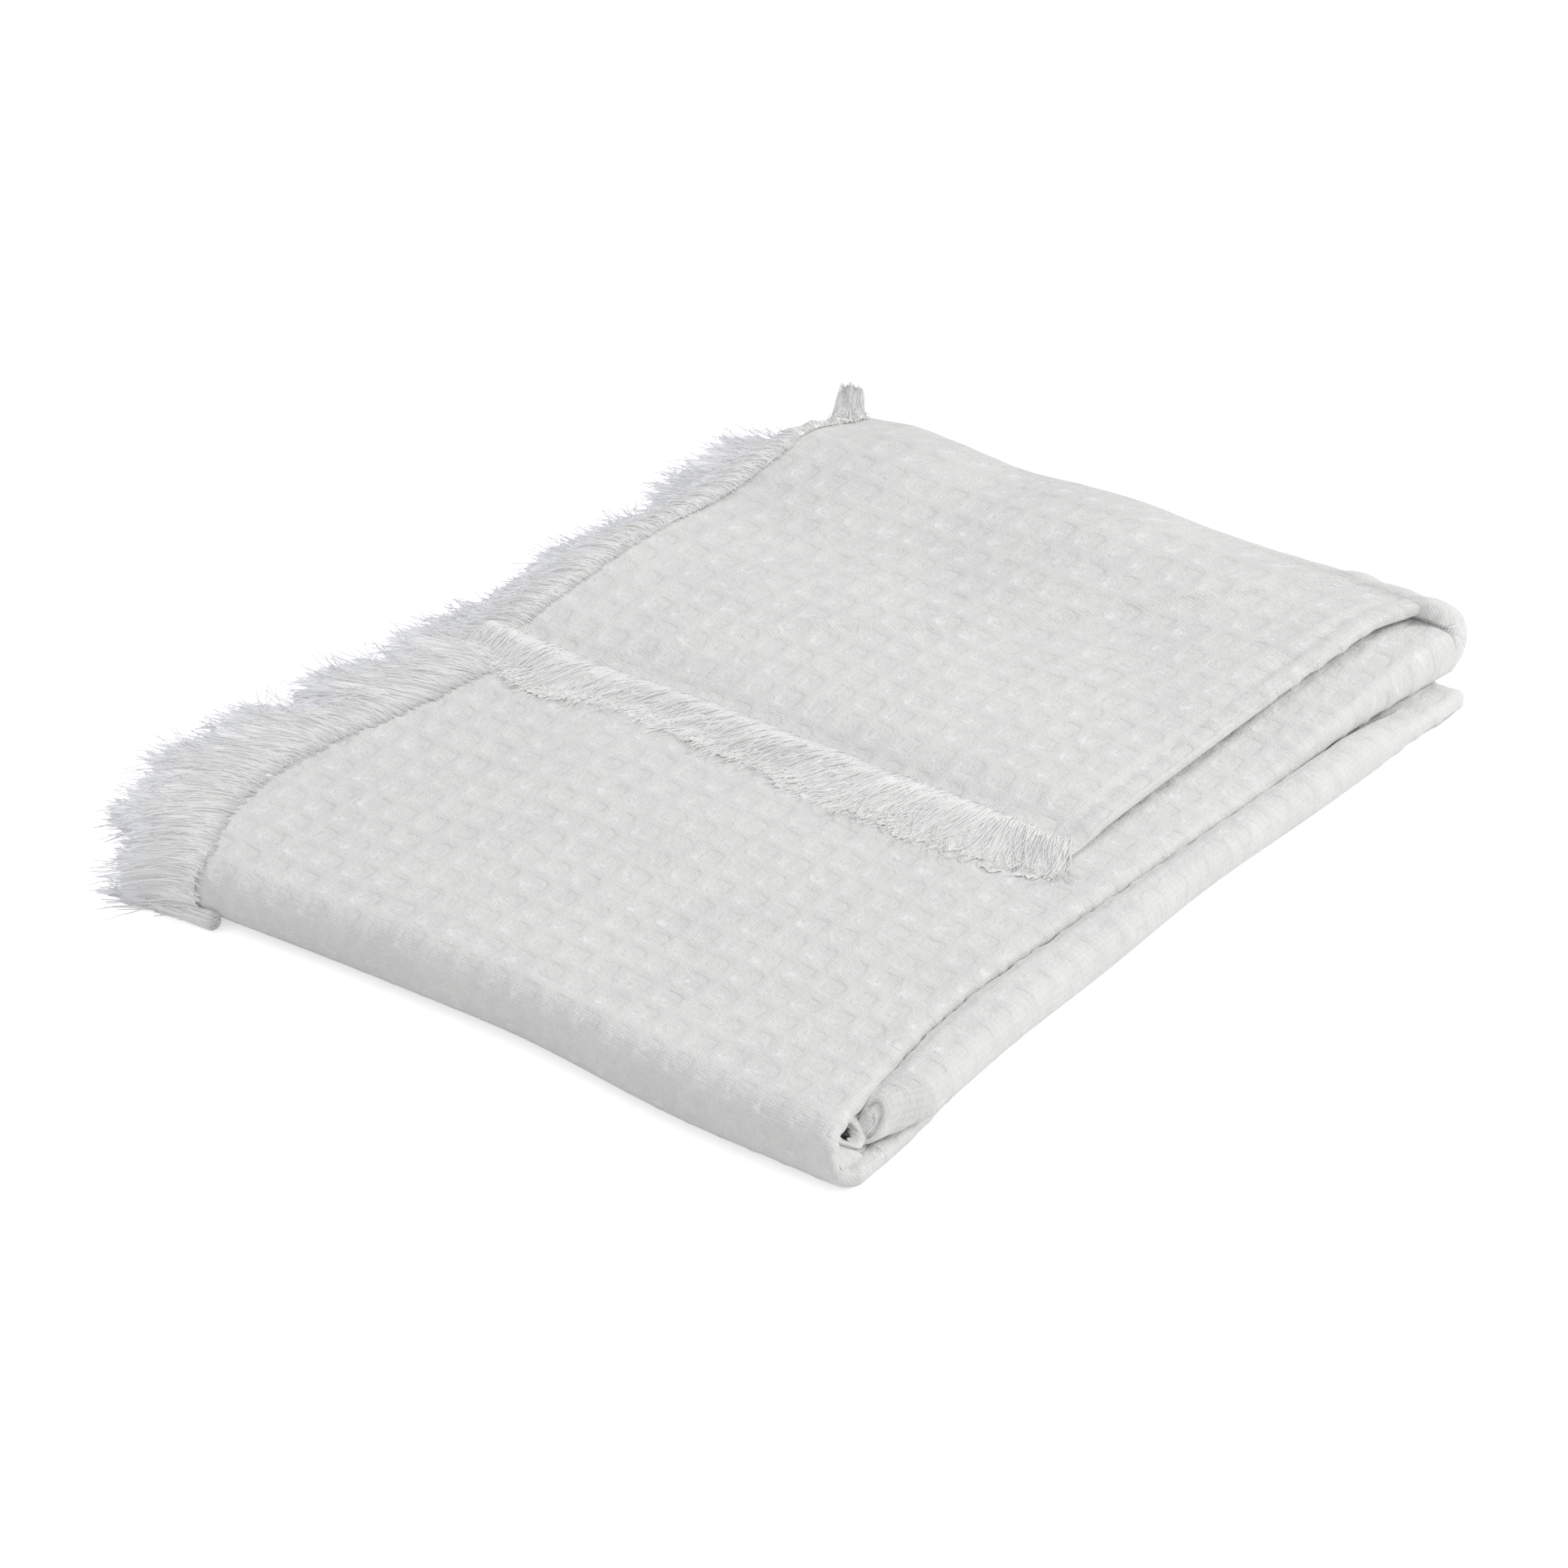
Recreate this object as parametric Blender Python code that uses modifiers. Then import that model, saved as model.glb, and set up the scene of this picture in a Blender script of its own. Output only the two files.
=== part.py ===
"""Honeycomb bedspread, folded and lying flat, with a frayed fringe.

The cloth is folded twice. Across its width it goes back and forth four times, which makes a
pack of four layers with its open fringed edges at -X and its soft side folds at +X. The pack
is then folded along its length: an inner panel, a bottom panel, the front fold, a top panel,
a full loop at the back and a shorter flap that ends in a fringe.
X runs along the front fold, Y to the back, Z up, and the origin is under the middle.
"""

import math
import random

import bmesh
import bpy
import numpy as np
from mathutils import Vector

# Driving sizes, in metres
CELL = 0.018                # pitch of the honeycomb
SHEET = 0.0015              # thickness of the cloth
LAYER = 0.0027              # from one layer of a pack to the next
PACK = 4 * LAYER            # from one pack to the next
FOOT_X, FOOT_Y = 0.1299, 0.2654   # middle of the footprint, before the origin is moved there

# Places across the width, measured from the left end of the front fold
EDGE_OUTER = -0.012         # open edge of the outermost layer
EDGE_INNER = 0.020          # open edge of the layer on the other face of the pack
EDGE_OUTER_FLAP = 0.014     # open edge of the outermost layer on the flap
TURN_IN = 0.006             # from the inner edge to the hidden fold between the middle layers
SIDE = 0.365                # outside of a side fold that lies unshifted
ROLL_LONG = 0.0065          # half width of the side fold, which is flatter than round
TUCK = 0.012                # run of the cloth back under the side fold
PLUMP_RADIUS = 0.0090       # side fold of the inner panel: a fat roll that stands above its pack
PLUMP_LIFT = 0.0045
PLUMP_END, PLUMP_FADE = 0.490, 0.070    # where the roll has come down to the others' size

# Places along the length
FRONT_CENTRE = 0.0145       # axis of the front fold
INNER_FRONT = 0.027         # free end of the inner panel, inside the front fold
BACK_CENTRE = 0.504         # axis of the fold between the inner and the bottom panel
BACK_REACH = 0.533          # how far the loop at the back reaches
BACK_RISE = 0.0016          # lift of the packs over the thick back fold
RISE_START = 0.430          # where that lift starts
FLAP_END = 0.250            # free end of the flap
FLAP_CROWD = 1.6            # its stations are closer together near the loop
FLAP_REST = 0.400           # where the flap has come down onto the top panel

# Radius inside the loop: places across the width, and the radius there; the right end is full
LOOP_INSIDE = (
    (-0.100, 0.0088), (0.000, 0.0090), (0.055, 0.0084), (0.097, 0.0066), (0.135, 0.0088),
    (0.175, 0.0101), (0.215, 0.0080), (0.255, 0.0048), (0.295, 0.0022), (0.335, 0.0017), (0.380, 0.0017),
)

# The top pack swells to a mound at the right end of the loop, this much thicker than elsewhere
MOUND = 2.75
MOUND_X, MOUND_X_WIDTH = 0.190, 0.147
MOUND_Y, MOUND_Y_WIDTH = 0.330, 0.175

# Sideways shift of the pack: places along each panel, from 0 to 1, and the shift there
SHIFTS = {
    "inner": ((0.0, 0.000), (0.35, -0.004), (0.80, -0.002), (1.0, 0.003)),
    "back": ((0.0, 0.003), (1.0, -0.008)),
    "bottom": ((0.0, -0.008), (0.3, -0.017), (0.8, -0.011), (0.92, -0.004), (1.0, -0.002)),
    "front": ((0.0, -0.002), (1.0, -0.013)),
    "top": ((0.0, -0.013), (0.05, -0.019), (0.12, -0.0250), (0.35, -0.027), (0.6, -0.022), (0.85, -0.018),
            (1.0, -0.008)),
    "loop": ((0.0, -0.008), (0.4, -0.009), (1.0, -0.028)),
    "flap": ((0.0, -0.028), (0.06, -0.036), (0.2, -0.043), (0.45, -0.0525), (1.0, -0.054)),
}
# Way out of the outermost layer's open edge on the top panel, in the same form
BULGE = ((0.0, 0.000), (0.06, 0.008), (0.18, 0.009), (0.30, -0.004), (1.0, -0.010))

# Fringe
FRINGE_GAP = 0.0004         # from the cloth's edge to the strip that holds the locks
STRIP = 0.0030              # width of that strip
LOCK_PITCH = CELL / 2       # locks of the rows that show
HIDDEN_PITCH = CELL * 2 / 3     # locks of the rows under them

# Lie of the whole
FRONT_SLANT = 0.022         # the front fold isn't quite square to the sides
FRONT_BOW = 0.0080          # and bows inward, most of all at this place
BOW_AT, BOW_WIDTH = 0.155, 0.090
THIN_LEFT = 0.13            # the pile is lower toward the open edges by this share
THIN_WIDTH = 0.150
THIN_FADE, THIN_FADE_WIDTH = 0.100, 0.300   # further back it isn't

OFF_WHITE = (0.80, 0.80, 0.79, 1.0)

HALF_PACK = 1.5 * LAYER
BOTTOM_LEVEL = SHEET / 2 + HALF_PACK
INNER_LEVEL, TOP_LEVEL = BOTTOM_LEVEL + PACK, BOTTOM_LEVEL + 2 * PACK
PANELS = {"inner": 7, "back": 6, "bottom": 6, "front": 8, "top": 11, "loop": 9, "flap": 8}


def ease(fraction):
    """Smooth step from 0 to 1."""
    f = min(max(fraction, 0.0), 1.0)
    return f * f * (3 - 2 * f)


def spread(first, last, count, power=1.0):
    """Places from first to last, closer together near first when the power is over 1."""
    return [first + (last - first) * (i / count) ** power for i in range(count + 1)]


def smooth_line(points, at):
    """Value at a place on the smooth curve through (place, value) points."""
    places, values = zip(*points)
    slopes = np.gradient(values, places)
    i = min(max(int(np.searchsorted(places, at)) - 1, 0), len(places) - 2)
    step = places[i + 1] - places[i]
    t = (at - places[i]) / step
    bends = (t * (1 - t) ** 2 * slopes[i] - t * t * (1 - t) * slopes[i + 1]) * step
    return values[i] + (values[i + 1] - values[i]) * ease(t) + bends


def rise(y):
    return BACK_RISE * ease((y - RISE_START) / (BACK_CENTRE - RISE_START))


def swelling(x, y):
    """Thickness of the top pack as a share of its usual thickness."""
    return 1 + (MOUND - 1) * ease((x - MOUND_X) / MOUND_X_WIDTH) * ease((y - MOUND_Y) / MOUND_Y_WIDTH)


def inside_radius(x):
    return smooth_line(LOOP_INSIDE, x)


def top_height(x, y):
    return TOP_LEVEL + rise(y) + HALF_PACK * (swelling(x, y) - 1)


def loop_axis(x):
    """Where the loop's axis lies in the plane at x."""
    share = swelling(x, BACK_CENTRE)
    inside = inside_radius(x)
    return (BACK_REACH - SHEET / 2 - HALF_PACK * (1 + share) - inside,
            top_height(x, BACK_CENTRE) + HALF_PACK * share + inside)


def flap_height(x, y):
    """The flap lies on the top panel and climbs to the loop."""
    loop_y, _ = loop_axis(x)
    lying = top_height(x, y) + HALF_PACK * (swelling(x, y) + 1) + LAYER
    return lying + (2 * inside_radius(x) - LAYER) * ease((y - FLAP_REST) / (loop_y - FLAP_REST))


def run(places, height, share, heading):
    """Stations of a lying panel: y, z, heading and share of thickness."""
    step = 0.0005
    stations = []
    for y in places:
        slant = math.atan((height(y + step) - height(y - step)) / (2 * step))
        stations.append((y, height(y), heading + slant, share(y)))
    return stations


def bend(centre_y, centre_z, inside, heading, turn, shares, steps):
    """Stations around a fold whose path starts at heading and turns by turn."""
    side = 1 if turn > 0 else -1
    stations = []
    for i in range(steps + 1):
        angle = heading + turn * i / steps
        share = shares[0] + (shares[1] - shares[0]) * i / steps
        radius = inside + HALF_PACK * share
        stations.append((centre_y + side * radius * math.sin(angle),
                         centre_z - side * radius * math.cos(angle), angle, share))
    return stations


def length_path(x):
    """The pack's middle line in the plane at x, from the inner panel's end to the flap's."""
    half = math.pi
    loop_y, loop_z = loop_axis(x)
    back_radius = (INNER_LEVEL + BACK_RISE - BOTTOM_LEVEL) / 2
    panels = {
        "inner": run(spread(INNER_FRONT, BACK_CENTRE, PANELS["inner"]),
                     lambda y: INNER_LEVEL + rise(y), lambda y: 1, 0),
        "back": bend(BACK_CENTRE, BOTTOM_LEVEL + back_radius, back_radius - HALF_PACK, 0, -half, (1, 1),
                     PANELS["back"]),
        "bottom": run(spread(BACK_CENTRE, FRONT_CENTRE, PANELS["bottom"]),
                      lambda y: BOTTOM_LEVEL, lambda y: 1, -half),
        "front": bend(FRONT_CENTRE, INNER_LEVEL, PACK - HALF_PACK, -half, -half, (1, 1), PANELS["front"]),
        "top": run(spread(FRONT_CENTRE, loop_y, PANELS["top"]),
                   lambda y: top_height(x, y), lambda y: swelling(x, y), -2 * half),
        "loop": bend(loop_y, loop_z, inside_radius(x), -2 * half, half, (swelling(x, BACK_CENTRE), 1),
                     PANELS["loop"]),
        "flap": run(spread(loop_y, FLAP_END, PANELS["flap"], FLAP_CROWD),
                    lambda y: flap_height(x, y), lambda y: 1, -half),
    }
    stations = [panels["inner"][0]]
    for panel in panels.values():
        stations += panel[1:]
    return stations


def panel_ranges():
    """First and last station of each panel and fold, by name."""
    ranges, first = {}, 0
    for name, count in PANELS.items():
        ranges[name] = (first, first + count)
        first += count
    return ranges


RANGES = panel_ranges()
STATIONS = RANGES["flap"][1] + 1


def panel_at(station):
    """Name of the panel or fold that the station lies on, and how far along, from 0 to 1."""
    for name, (first, last) in RANGES.items():
        if station <= last:
            part = (station - first) / (last - first)
            return name, part ** FLAP_CROWD if name == "flap" else part
    return "flap", 1.0


def side_shift(station):
    name, part = panel_at(station)
    return smooth_line(SHIFTS[name], part)


def outer_edge(station):
    """Open edge of the outermost layer."""
    name, part = panel_at(station)
    if name in ("loop", "flap"):
        turned = ease(part) if name == "loop" else 1.0
        return EDGE_OUTER - BULGE[-1][1] + (EDGE_OUTER_FLAP - EDGE_OUTER + BULGE[-1][1]) * turned
    return EDGE_OUTER - (smooth_line(BULGE, part) if name == "top" else 0.0)


def width_profile(station):
    """The four layers across the width: x and height in the pack, from edge to edge."""
    name, part = panel_at(station)
    y = INNER_FRONT + (BACK_CENTRE - INNER_FRONT) * part
    plump = ease((PLUMP_END - y) / PLUMP_FADE) if name == "inner" else 0.0
    long = ROLL_LONG + (PLUMP_RADIUS - ROLL_LONG) * plump
    high = HALF_PACK + (PLUMP_RADIUS - HALF_PACK) * plump
    middle = PLUMP_LIFT * plump
    roll_x = SIDE - SHEET / 2 - ROLL_LONG
    turn_x = EDGE_INNER + TURN_IN
    upper, lower, small = HALF_PACK, -HALF_PACK, LAYER / 2
    columns = spread(turn_x, roll_x - TUCK, 7)          # the same on all four layers
    profile = [(outer_edge(station), upper)] + [(x, upper) for x in columns]
    for f in (0.3, 0.6, 1.0):
        profile.append((roll_x - TUCK * (1 - f), upper + (middle + high - upper) * ease(f)))
    for angle in spread(math.pi / 2, -math.pi / 2, 7)[1:]:
        profile.append((roll_x + long * math.cos(angle), middle + high * math.sin(angle)))
    for f in (0.25, 0.5, 0.75):
        profile.append((roll_x - TUCK * f, middle - high + (small - middle + high) * ease(f)))
    profile += [(x, small) for x in reversed(columns)]
    for angle in spread(math.pi / 2, 3 * math.pi / 2, 4)[1:-1]:
        profile.append((turn_x + small * math.cos(angle), small * math.sin(angle)))
    profile += [(x, -small) for x in columns]
    for angle in spread(math.pi / 2, -math.pi / 2, 4)[1:-1]:
        profile.append((columns[-1] + small * math.cos(angle), -LAYER + small * math.sin(angle)))
    profile += [(x, lower) for x in reversed(columns)] + [(EDGE_INNER, lower)]
    return profile


def settle(x, y, z):
    """Unevenness of the lying cloth: wandering edges, slightly hilly panels, a lower left end."""
    lift = max(z - SHEET / 2, 0.0)
    hills = 0.020 * math.sin(17 * x + 1.0) * math.sin(13 * y + 0.4) + 0.012 * math.sin(41 * y + 9 * x)
    thin = THIN_LEFT * (1 - ease((x + 0.03) / THIN_WIDTH)) * (1 - ease((y - THIN_FADE) / THIN_FADE_WIDTH))
    wander_x = 0.0013 * math.sin(14 * y + 60 * z) + 0.0007 * math.sin(37 * y - 90 * z + 1.2)
    wander_y = 0.0012 * math.sin(16 * x + 50 * z + 0.5) + 0.0006 * math.sin(43 * x - 70 * z)
    front = 1 - y / BACK_REACH
    bow = FRONT_BOW * math.exp(-((x - BOW_AT) / BOW_WIDTH) ** 2) * front ** 2
    slant = bow - FRONT_SLANT * (x - SIDE / 2) * front
    return Vector((x + wander_x - FOOT_X, y + wander_y + slant - FOOT_Y, z + lift * (hills - thin)))


def cloth_point(x, height, station):
    """The point of the pack at x across, height from its middle, on the given station."""
    across = x + side_shift(station)
    y, z, heading, share = length_path(across)[station]
    away = height * share
    return settle(across, y - away * math.sin(heading), z + away * math.cos(heading))


def new_material(name, colour, roughness):
    material = bpy.data.materials.new(name)
    material.use_nodes = True
    shader = material.node_tree.nodes["Principled BSDF"]
    shader.inputs["Base Color"].default_value = colour
    shader.inputs["Roughness"].default_value = roughness
    shader.inputs["Metallic"].default_value = 0.0
    return material


def link_mesh(name, mesh, material, collection):
    obj = bpy.data.objects.new(name, mesh)
    obj.data.materials.append(material)
    mesh.shade_smooth()
    collection.objects.link(obj)
    return obj


def runs_right(profile, index):
    return profile[index + 1][0] > profile[index][0]


def make_cloth(collection, material):
    """The whole cloth as one grid laid in its folds, thickened by Solidify."""
    profiles = [width_profile(j) for j in range(STATIONS)]
    points_across = len(profiles[0])
    bm = bmesh.new()
    bmesh.ops.create_grid(bm, x_segments=points_across - 1, y_segments=STATIONS - 1, size=1.0)
    bm.verts.ensure_lookup_table()
    for index, vert in enumerate(bm.verts):
        station, across = divmod(index, points_across)
        x, height = profiles[station][across]
        vert.co = cloth_point(x, height, station)
    first_points = [min(v.index for v in f.verts) % points_across for f in bm.faces]
    rightward = [f for f, point in zip(bm.faces, first_points) if runs_right(profiles[0], point)]
    leftward = [f for f in bm.faces if f not in set(rightward)]
    bmesh.ops.triangulate(bm, faces=rightward, quad_method="FIXED")
    bmesh.ops.triangulate(bm, faces=leftward, quad_method="ALTERNATE")
    mesh = bpy.data.meshes.new("bedspread")
    bm.to_mesh(mesh)
    bm.free()
    cloth = link_mesh("bedspread", mesh, material, collection)
    thickness = cloth.modifiers.new("thickness", "SOLIDIFY")
    thickness.thickness = SHEET
    thickness.offset = 0
    thickness.use_even_offset = True
    return cloth


def edge_place(station, x, layer, height):
    """The point of the layer at x on the station, raised from it by height along the pack's normal."""
    across = x + side_shift(station)
    y, z, heading, share = length_path(across)[station]
    away = layer * share + height
    return settle(across, y - away * math.sin(heading), z + away * math.cos(heading))


def outer_corner(station, offset, height):
    """A place off the outermost layer's open edge."""
    return edge_place(station, outer_edge(station) - offset, HALF_PACK, height)


def inner_corner(station, offset, height):
    """A place off the open edge of the layer on the other face."""
    return edge_place(station, EDGE_INNER - offset, -HALF_PACK, height)


def front_corner(index, offset, height):
    """A place off the flap's free end, counted across the width from the left."""
    x, layer = width_profile(STATIONS - 1)[-1 - index]
    return edge_place(STATIONS - 1, x, layer, height) - Vector((0, offset, 0))


def between(places, position):
    below = min(int(position), len(places) - 2)
    return places[below].lerp(places[below + 1], position - below)


def even_positions(places, first, last, pitch):
    """Positions along the row, about a pitch apart, with one at each place it passes."""
    stops = [first] + [i for i in range(len(places)) if first < i < last] + [last]
    positions = [first]
    for a, b in zip(stops, stops[1:]):
        length = (between(places, b) - between(places, a)).length
        positions += list(np.linspace(a, b, max(round(length / pitch), 1) + 1)[1:])
    return positions


def make_fringe(name, corner, ends, pitch, lie, collection, material):
    """A row of locks with their roots in one narrow strip, a little off the cloth's edge."""
    first, last = ends
    stations = range(int(first), math.ceil(last) + 1)
    rails = {}
    for side, offset in enumerate((FRINGE_GAP, FRINGE_GAP + STRIP)):
        for level, height in enumerate((-SHEET / 2, SHEET / 2)):
            rails[side, level] = [corner(i, offset, height) for i in stations]
    origin = stations[0]
    positions = even_positions(rails[1, 0], first - origin, last - origin, pitch)
    bm = bmesh.new()
    bmesh.ops.create_grid(bm, x_segments=len(positions) - 1, y_segments=1, size=1.0)
    for index, vert in enumerate(bm.verts):
        vert.co = (index % len(positions), index // len(positions), 0)
    grown = bmesh.ops.extrude_face_region(bm, geom=bm.faces[:])["geom"]
    bmesh.ops.translate(bm, verts=[v for v in grown if isinstance(v, bmesh.types.BMVert)], vec=(0, 0, 1))
    tips = [f for f in bm.faces if all(v.co.y > 0.5 for v in f.verts)]
    for step, width in ((1, 0.74), (2, 0.56)):
        tips = bmesh.ops.extrude_discrete_faces(bm, faces=tips)["faces"]
        for face in tips:
            middle = face.calc_center_median().x
            for vert in face.verts:
                vert.co = (middle + (vert.co.x - middle) * width, 1 + step, vert.co.z)
    bmesh.ops.recalc_face_normals(bm, faces=bm.faces)
    draw = random.Random(len(positions))
    habits = [[draw.uniform(-1, 1) for _ in range(3)] for _ in positions]
    for vert in bm.verts:
        across, out, level = vert.co
        side = 1 if out > 0.5 else 0
        below = min(int(across), len(positions) - 2)
        rail = [between(rails[side, round(level)], p) for p in positions[below:below + 2]]
        place = rail[0].lerp(rail[1], across - below)
        if out > 1.5:
            direction, droop, thinning = lie((below + 0.5) / (len(positions) - 1), place)
            long, fan, hang = habits[below]
            part = (0.5, 1.0)[round(out) - 2]
            other = [between(rails[1, 1 - round(level)], p) for p in positions[below:below + 2]]
            middle = place.lerp(other[0].lerp(other[1], across - below), 0.5)
            place = place.lerp(middle, thinning * part)
            across_way = Vector((-direction.y, direction.x, 0))
            place += direction * part * (1 + 0.10 * long) + across_way * (0.03 * fan * part)
            place.z -= droop * (1 + 0.15 * hang) * part ** 1.5
        vert.co = place
    if bm.calc_volume(signed=True) < 0:
        bmesh.ops.reverse_faces(bm, faces=bm.faces)
    mesh = bpy.data.meshes.new(name)
    bm.to_mesh(mesh)
    bm.free()
    return link_mesh(name, mesh, material, collection)


def toward(angle_deg, length):
    """Direction of a side lock: straight out to -X, turned to the front by the angle."""
    angle = math.radians(angle_deg)
    return Vector((-math.cos(angle), -math.sin(angle), 0)) * length


def lie_under(fraction, place):
    return toward(6 + 8 * fraction, 0.038), 0.0, 0.0


def lie_middle(fraction, place):
    return toward(14 - 6 * fraction, 0.046), 0.0075, 0.4


def lie_top(fraction, place):
    y = place.y + FOOT_Y
    sweep = 2 + 18 * math.exp(-((y - 0.060) / 0.045) ** 2)
    length = 0.046 + 0.010 * ease((y - 0.020) / 0.060)
    return toward(sweep, length), 0.0040, 0.4


def lie_flap_side(fraction, place):
    length = 0.006 + 0.011 * ease(fraction / 0.25) + 0.006 * ease((fraction - 0.5) / 0.3)
    return toward(4, length), 0.0040 * ease(fraction / 0.25), 0.4


def lie_flap_front(fraction, place):
    sweep = 0.2 + 0.55 * math.sin(math.pi * min(fraction * 1.15, 1.0))
    length = 0.018 + 0.011 * ease(fraction / 0.25) - 0.012 * ease((fraction - 0.6) / 0.4)
    return Vector((-math.sin(sweep), -math.cos(sweep), 0)) * length, 0.0060, 0.4


def main():
    for obj in list(bpy.data.objects):
        bpy.data.objects.remove(obj)
    collection = bpy.data.collections.new("honeycomb bedspread")
    bpy.context.scene.collection.children.link(collection)
    cotton = new_material("cotton", OFF_WHITE, 0.9)
    make_cloth(collection, cotton)
    yarn = new_material("cotton yarn", OFF_WHITE, 0.9)
    front, loop, last = RANGES["front"][0], RANGES["loop"][0], RANGES["flap"][1]
    rows = [
        ("fringe_under", outer_corner, (RANGES["bottom"][0] + 0.3, front), HIDDEN_PITCH, lie_under),
        ("fringe_middle", outer_corner, (0.2, RANGES["inner"][1] - 0.2), HIDDEN_PITCH, lie_middle),
        ("fringe_top", outer_corner, (front + 3.0, loop - 0.3), LOCK_PITCH, lie_top),
        ("fringe_flap_side", inner_corner, (loop + 10.5, last - 0.1), LOCK_PITCH, lie_flap_side),
        ("fringe_flap_front", front_corner, (0.1, 6.8), LOCK_PITCH, lie_flap_front),
    ]
    for name, corner, ends, pitch, lie in rows:
        make_fringe(name, corner, ends, pitch, lie, collection, yarn)


main()
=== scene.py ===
import math
import bmesh
import bpy
import numpy as np
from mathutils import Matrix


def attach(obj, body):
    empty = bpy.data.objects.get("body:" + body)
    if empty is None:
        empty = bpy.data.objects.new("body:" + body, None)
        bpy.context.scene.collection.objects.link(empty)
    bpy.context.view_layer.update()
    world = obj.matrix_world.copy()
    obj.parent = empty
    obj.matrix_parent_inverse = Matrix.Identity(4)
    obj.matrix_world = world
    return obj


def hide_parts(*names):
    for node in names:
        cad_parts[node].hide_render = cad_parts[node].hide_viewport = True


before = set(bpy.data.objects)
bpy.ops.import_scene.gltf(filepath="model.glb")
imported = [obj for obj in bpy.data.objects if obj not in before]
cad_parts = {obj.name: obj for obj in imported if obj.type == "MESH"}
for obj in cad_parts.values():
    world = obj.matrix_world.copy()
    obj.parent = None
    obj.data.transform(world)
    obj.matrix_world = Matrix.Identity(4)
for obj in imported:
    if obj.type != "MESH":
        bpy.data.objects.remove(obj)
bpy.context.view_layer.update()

print("frame loaded")


def linked(name, data):
    thing = bpy.data.objects.new(name, data)
    bpy.context.scene.collection.objects.link(thing)
    return thing


def newMaterial(name):
    material = bpy.data.materials.new(name)
    material.use_nodes = True
    return material


def fill(node, values):
    for label, value in values.items():
        node.inputs[label].default_value = value
    return node


# Camera at the photograph's angle: 36.6 degrees to the right, 30.7 degrees up, long lens
def makeCamera():
    data = bpy.data.cameras.new("photo_camera")
    data.lens = 139.75
    data.sensor_width = 36
    data.sensor_fit = "HORIZONTAL"
    data.clip_start = 0.1
    data.clip_end = 30
    camera = linked("photo_camera", data)
    camera.location = (1.5123, -2.0325, 1.5051)
    azimuth, elevation = math.radians(36.60), math.radians(30.70)
    camera.rotation_euler = (math.pi / 2 - elevation, 0, azimuth)
    bpy.context.scene.camera = camera


makeCamera()

# Sizes of the folds, the same as the solids'
cell = 0.018
sheet = 0.0015
layer = 0.0027
pack = 4 * layer
halfPack = 1.5 * layer
footX, footY = 0.1299, 0.2654
edgeOuter, edgeInner, edgeOuterFlap, turnIn = -0.012, 0.020, 0.014, 0.006
side, rollLong, tuckRun = 0.365, 0.0065, 0.012
plumpRadius, plumpLift, plumpEnd, plumpFade = 0.0090, 0.0045, 0.490, 0.070
frontCentre, innerFront, backCentre, backReach = 0.0145, 0.027, 0.504, 0.533
backRise, riseStart = 0.0016, 0.430
flapEnd, flapRest = 0.250, 0.400
loopInside = ((-0.100, 0.0088), (0.000, 0.0090), (0.055, 0.0084), (0.097, 0.0066), (0.135, 0.0088),
              (0.175, 0.0101), (0.215, 0.0080), (0.255, 0.0048), (0.295, 0.0022), (0.335, 0.0017),
              (0.380, 0.0017))
mound, moundX, moundXWidth, moundY, moundYWidth = 2.75, 0.190, 0.147, 0.330, 0.175
shifts = {
    "inner": ((0.0, 0.000), (0.35, -0.004), (0.80, -0.002), (1.0, 0.003)),
    "back": ((0.0, 0.003), (1.0, -0.008)),
    "bottom": ((0.0, -0.008), (0.3, -0.017), (0.8, -0.011), (0.92, -0.004), (1.0, -0.002)),
    "front": ((0.0, -0.002), (1.0, -0.013)),
    "top": ((0.0, -0.013), (0.05, -0.019), (0.12, -0.0250), (0.35, -0.027), (0.6, -0.022), (0.85, -0.018),
            (1.0, -0.008)),
    "loop": ((0.0, -0.008), (0.4, -0.009), (1.0, -0.028)),
    "flap": ((0.0, -0.028), (0.06, -0.036), (0.2, -0.043), (0.45, -0.0525), (1.0, -0.054)),
}
bulge = ((0.0, 0.000), (0.06, 0.008), (0.18, 0.009), (0.30, -0.004), (1.0, -0.010))
frontSlant, frontBow, bowAt, bowWidth = 0.022, 0.0080, 0.155, 0.090
thinLeft, thinWidth, thinFade, thinFadeWidth = 0.13, 0.150, 0.100, 0.300
bottomLevel = sheet / 2 + halfPack
innerLevel, topLevel = bottomLevel + pack, bottomLevel + 2 * pack
rollX = side - sheet / 2 - rollLong
tuckX = rollX - tuckRun
quarter = math.pi / 2
panelOrder = ["inner", "back", "bottom", "front", "top", "loop", "flap"]
panelLength = {"inner": 0.486, "back": 0.036, "bottom": 0.4895, "front": 0.049, "top": 0.5, "loop": 0.048,
               "flap": 0.265}
panelStart = {name: sum(panelLength[p] for p in panelOrder[:i]) for i, name in enumerate(panelOrder)}


def ease(f):
    g = np.clip(f, 0.0, 1.0)
    return g * g * (3 - 2 * g)


# Smooth curve through (place, value) points
def smoothLine(points, at):
    places, values = np.array(points).T
    slopes = np.gradient(values, places)
    i = np.clip(np.searchsorted(places, at) - 1, 0, len(places) - 2)
    step = places[i + 1] - places[i]
    t = (at - places[i]) / step
    bends = (t * (1 - t) ** 2 * slopes[i] - t * t * (1 - t) * slopes[i + 1]) * step
    return values[i] + (values[i + 1] - values[i]) * ease(t) + bends


def rise(y):
    return backRise * ease((y - riseStart) / (backCentre - riseStart))


def swelling(x, y):
    return 1 + (mound - 1) * ease((x - moundX) / moundXWidth) * ease((y - moundY) / moundYWidth)


def insideRadius(x):
    return smoothLine(loopInside, x)


def topHeight(x, y):
    return topLevel + rise(y) + halfPack * (swelling(x, y) - 1)


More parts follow.
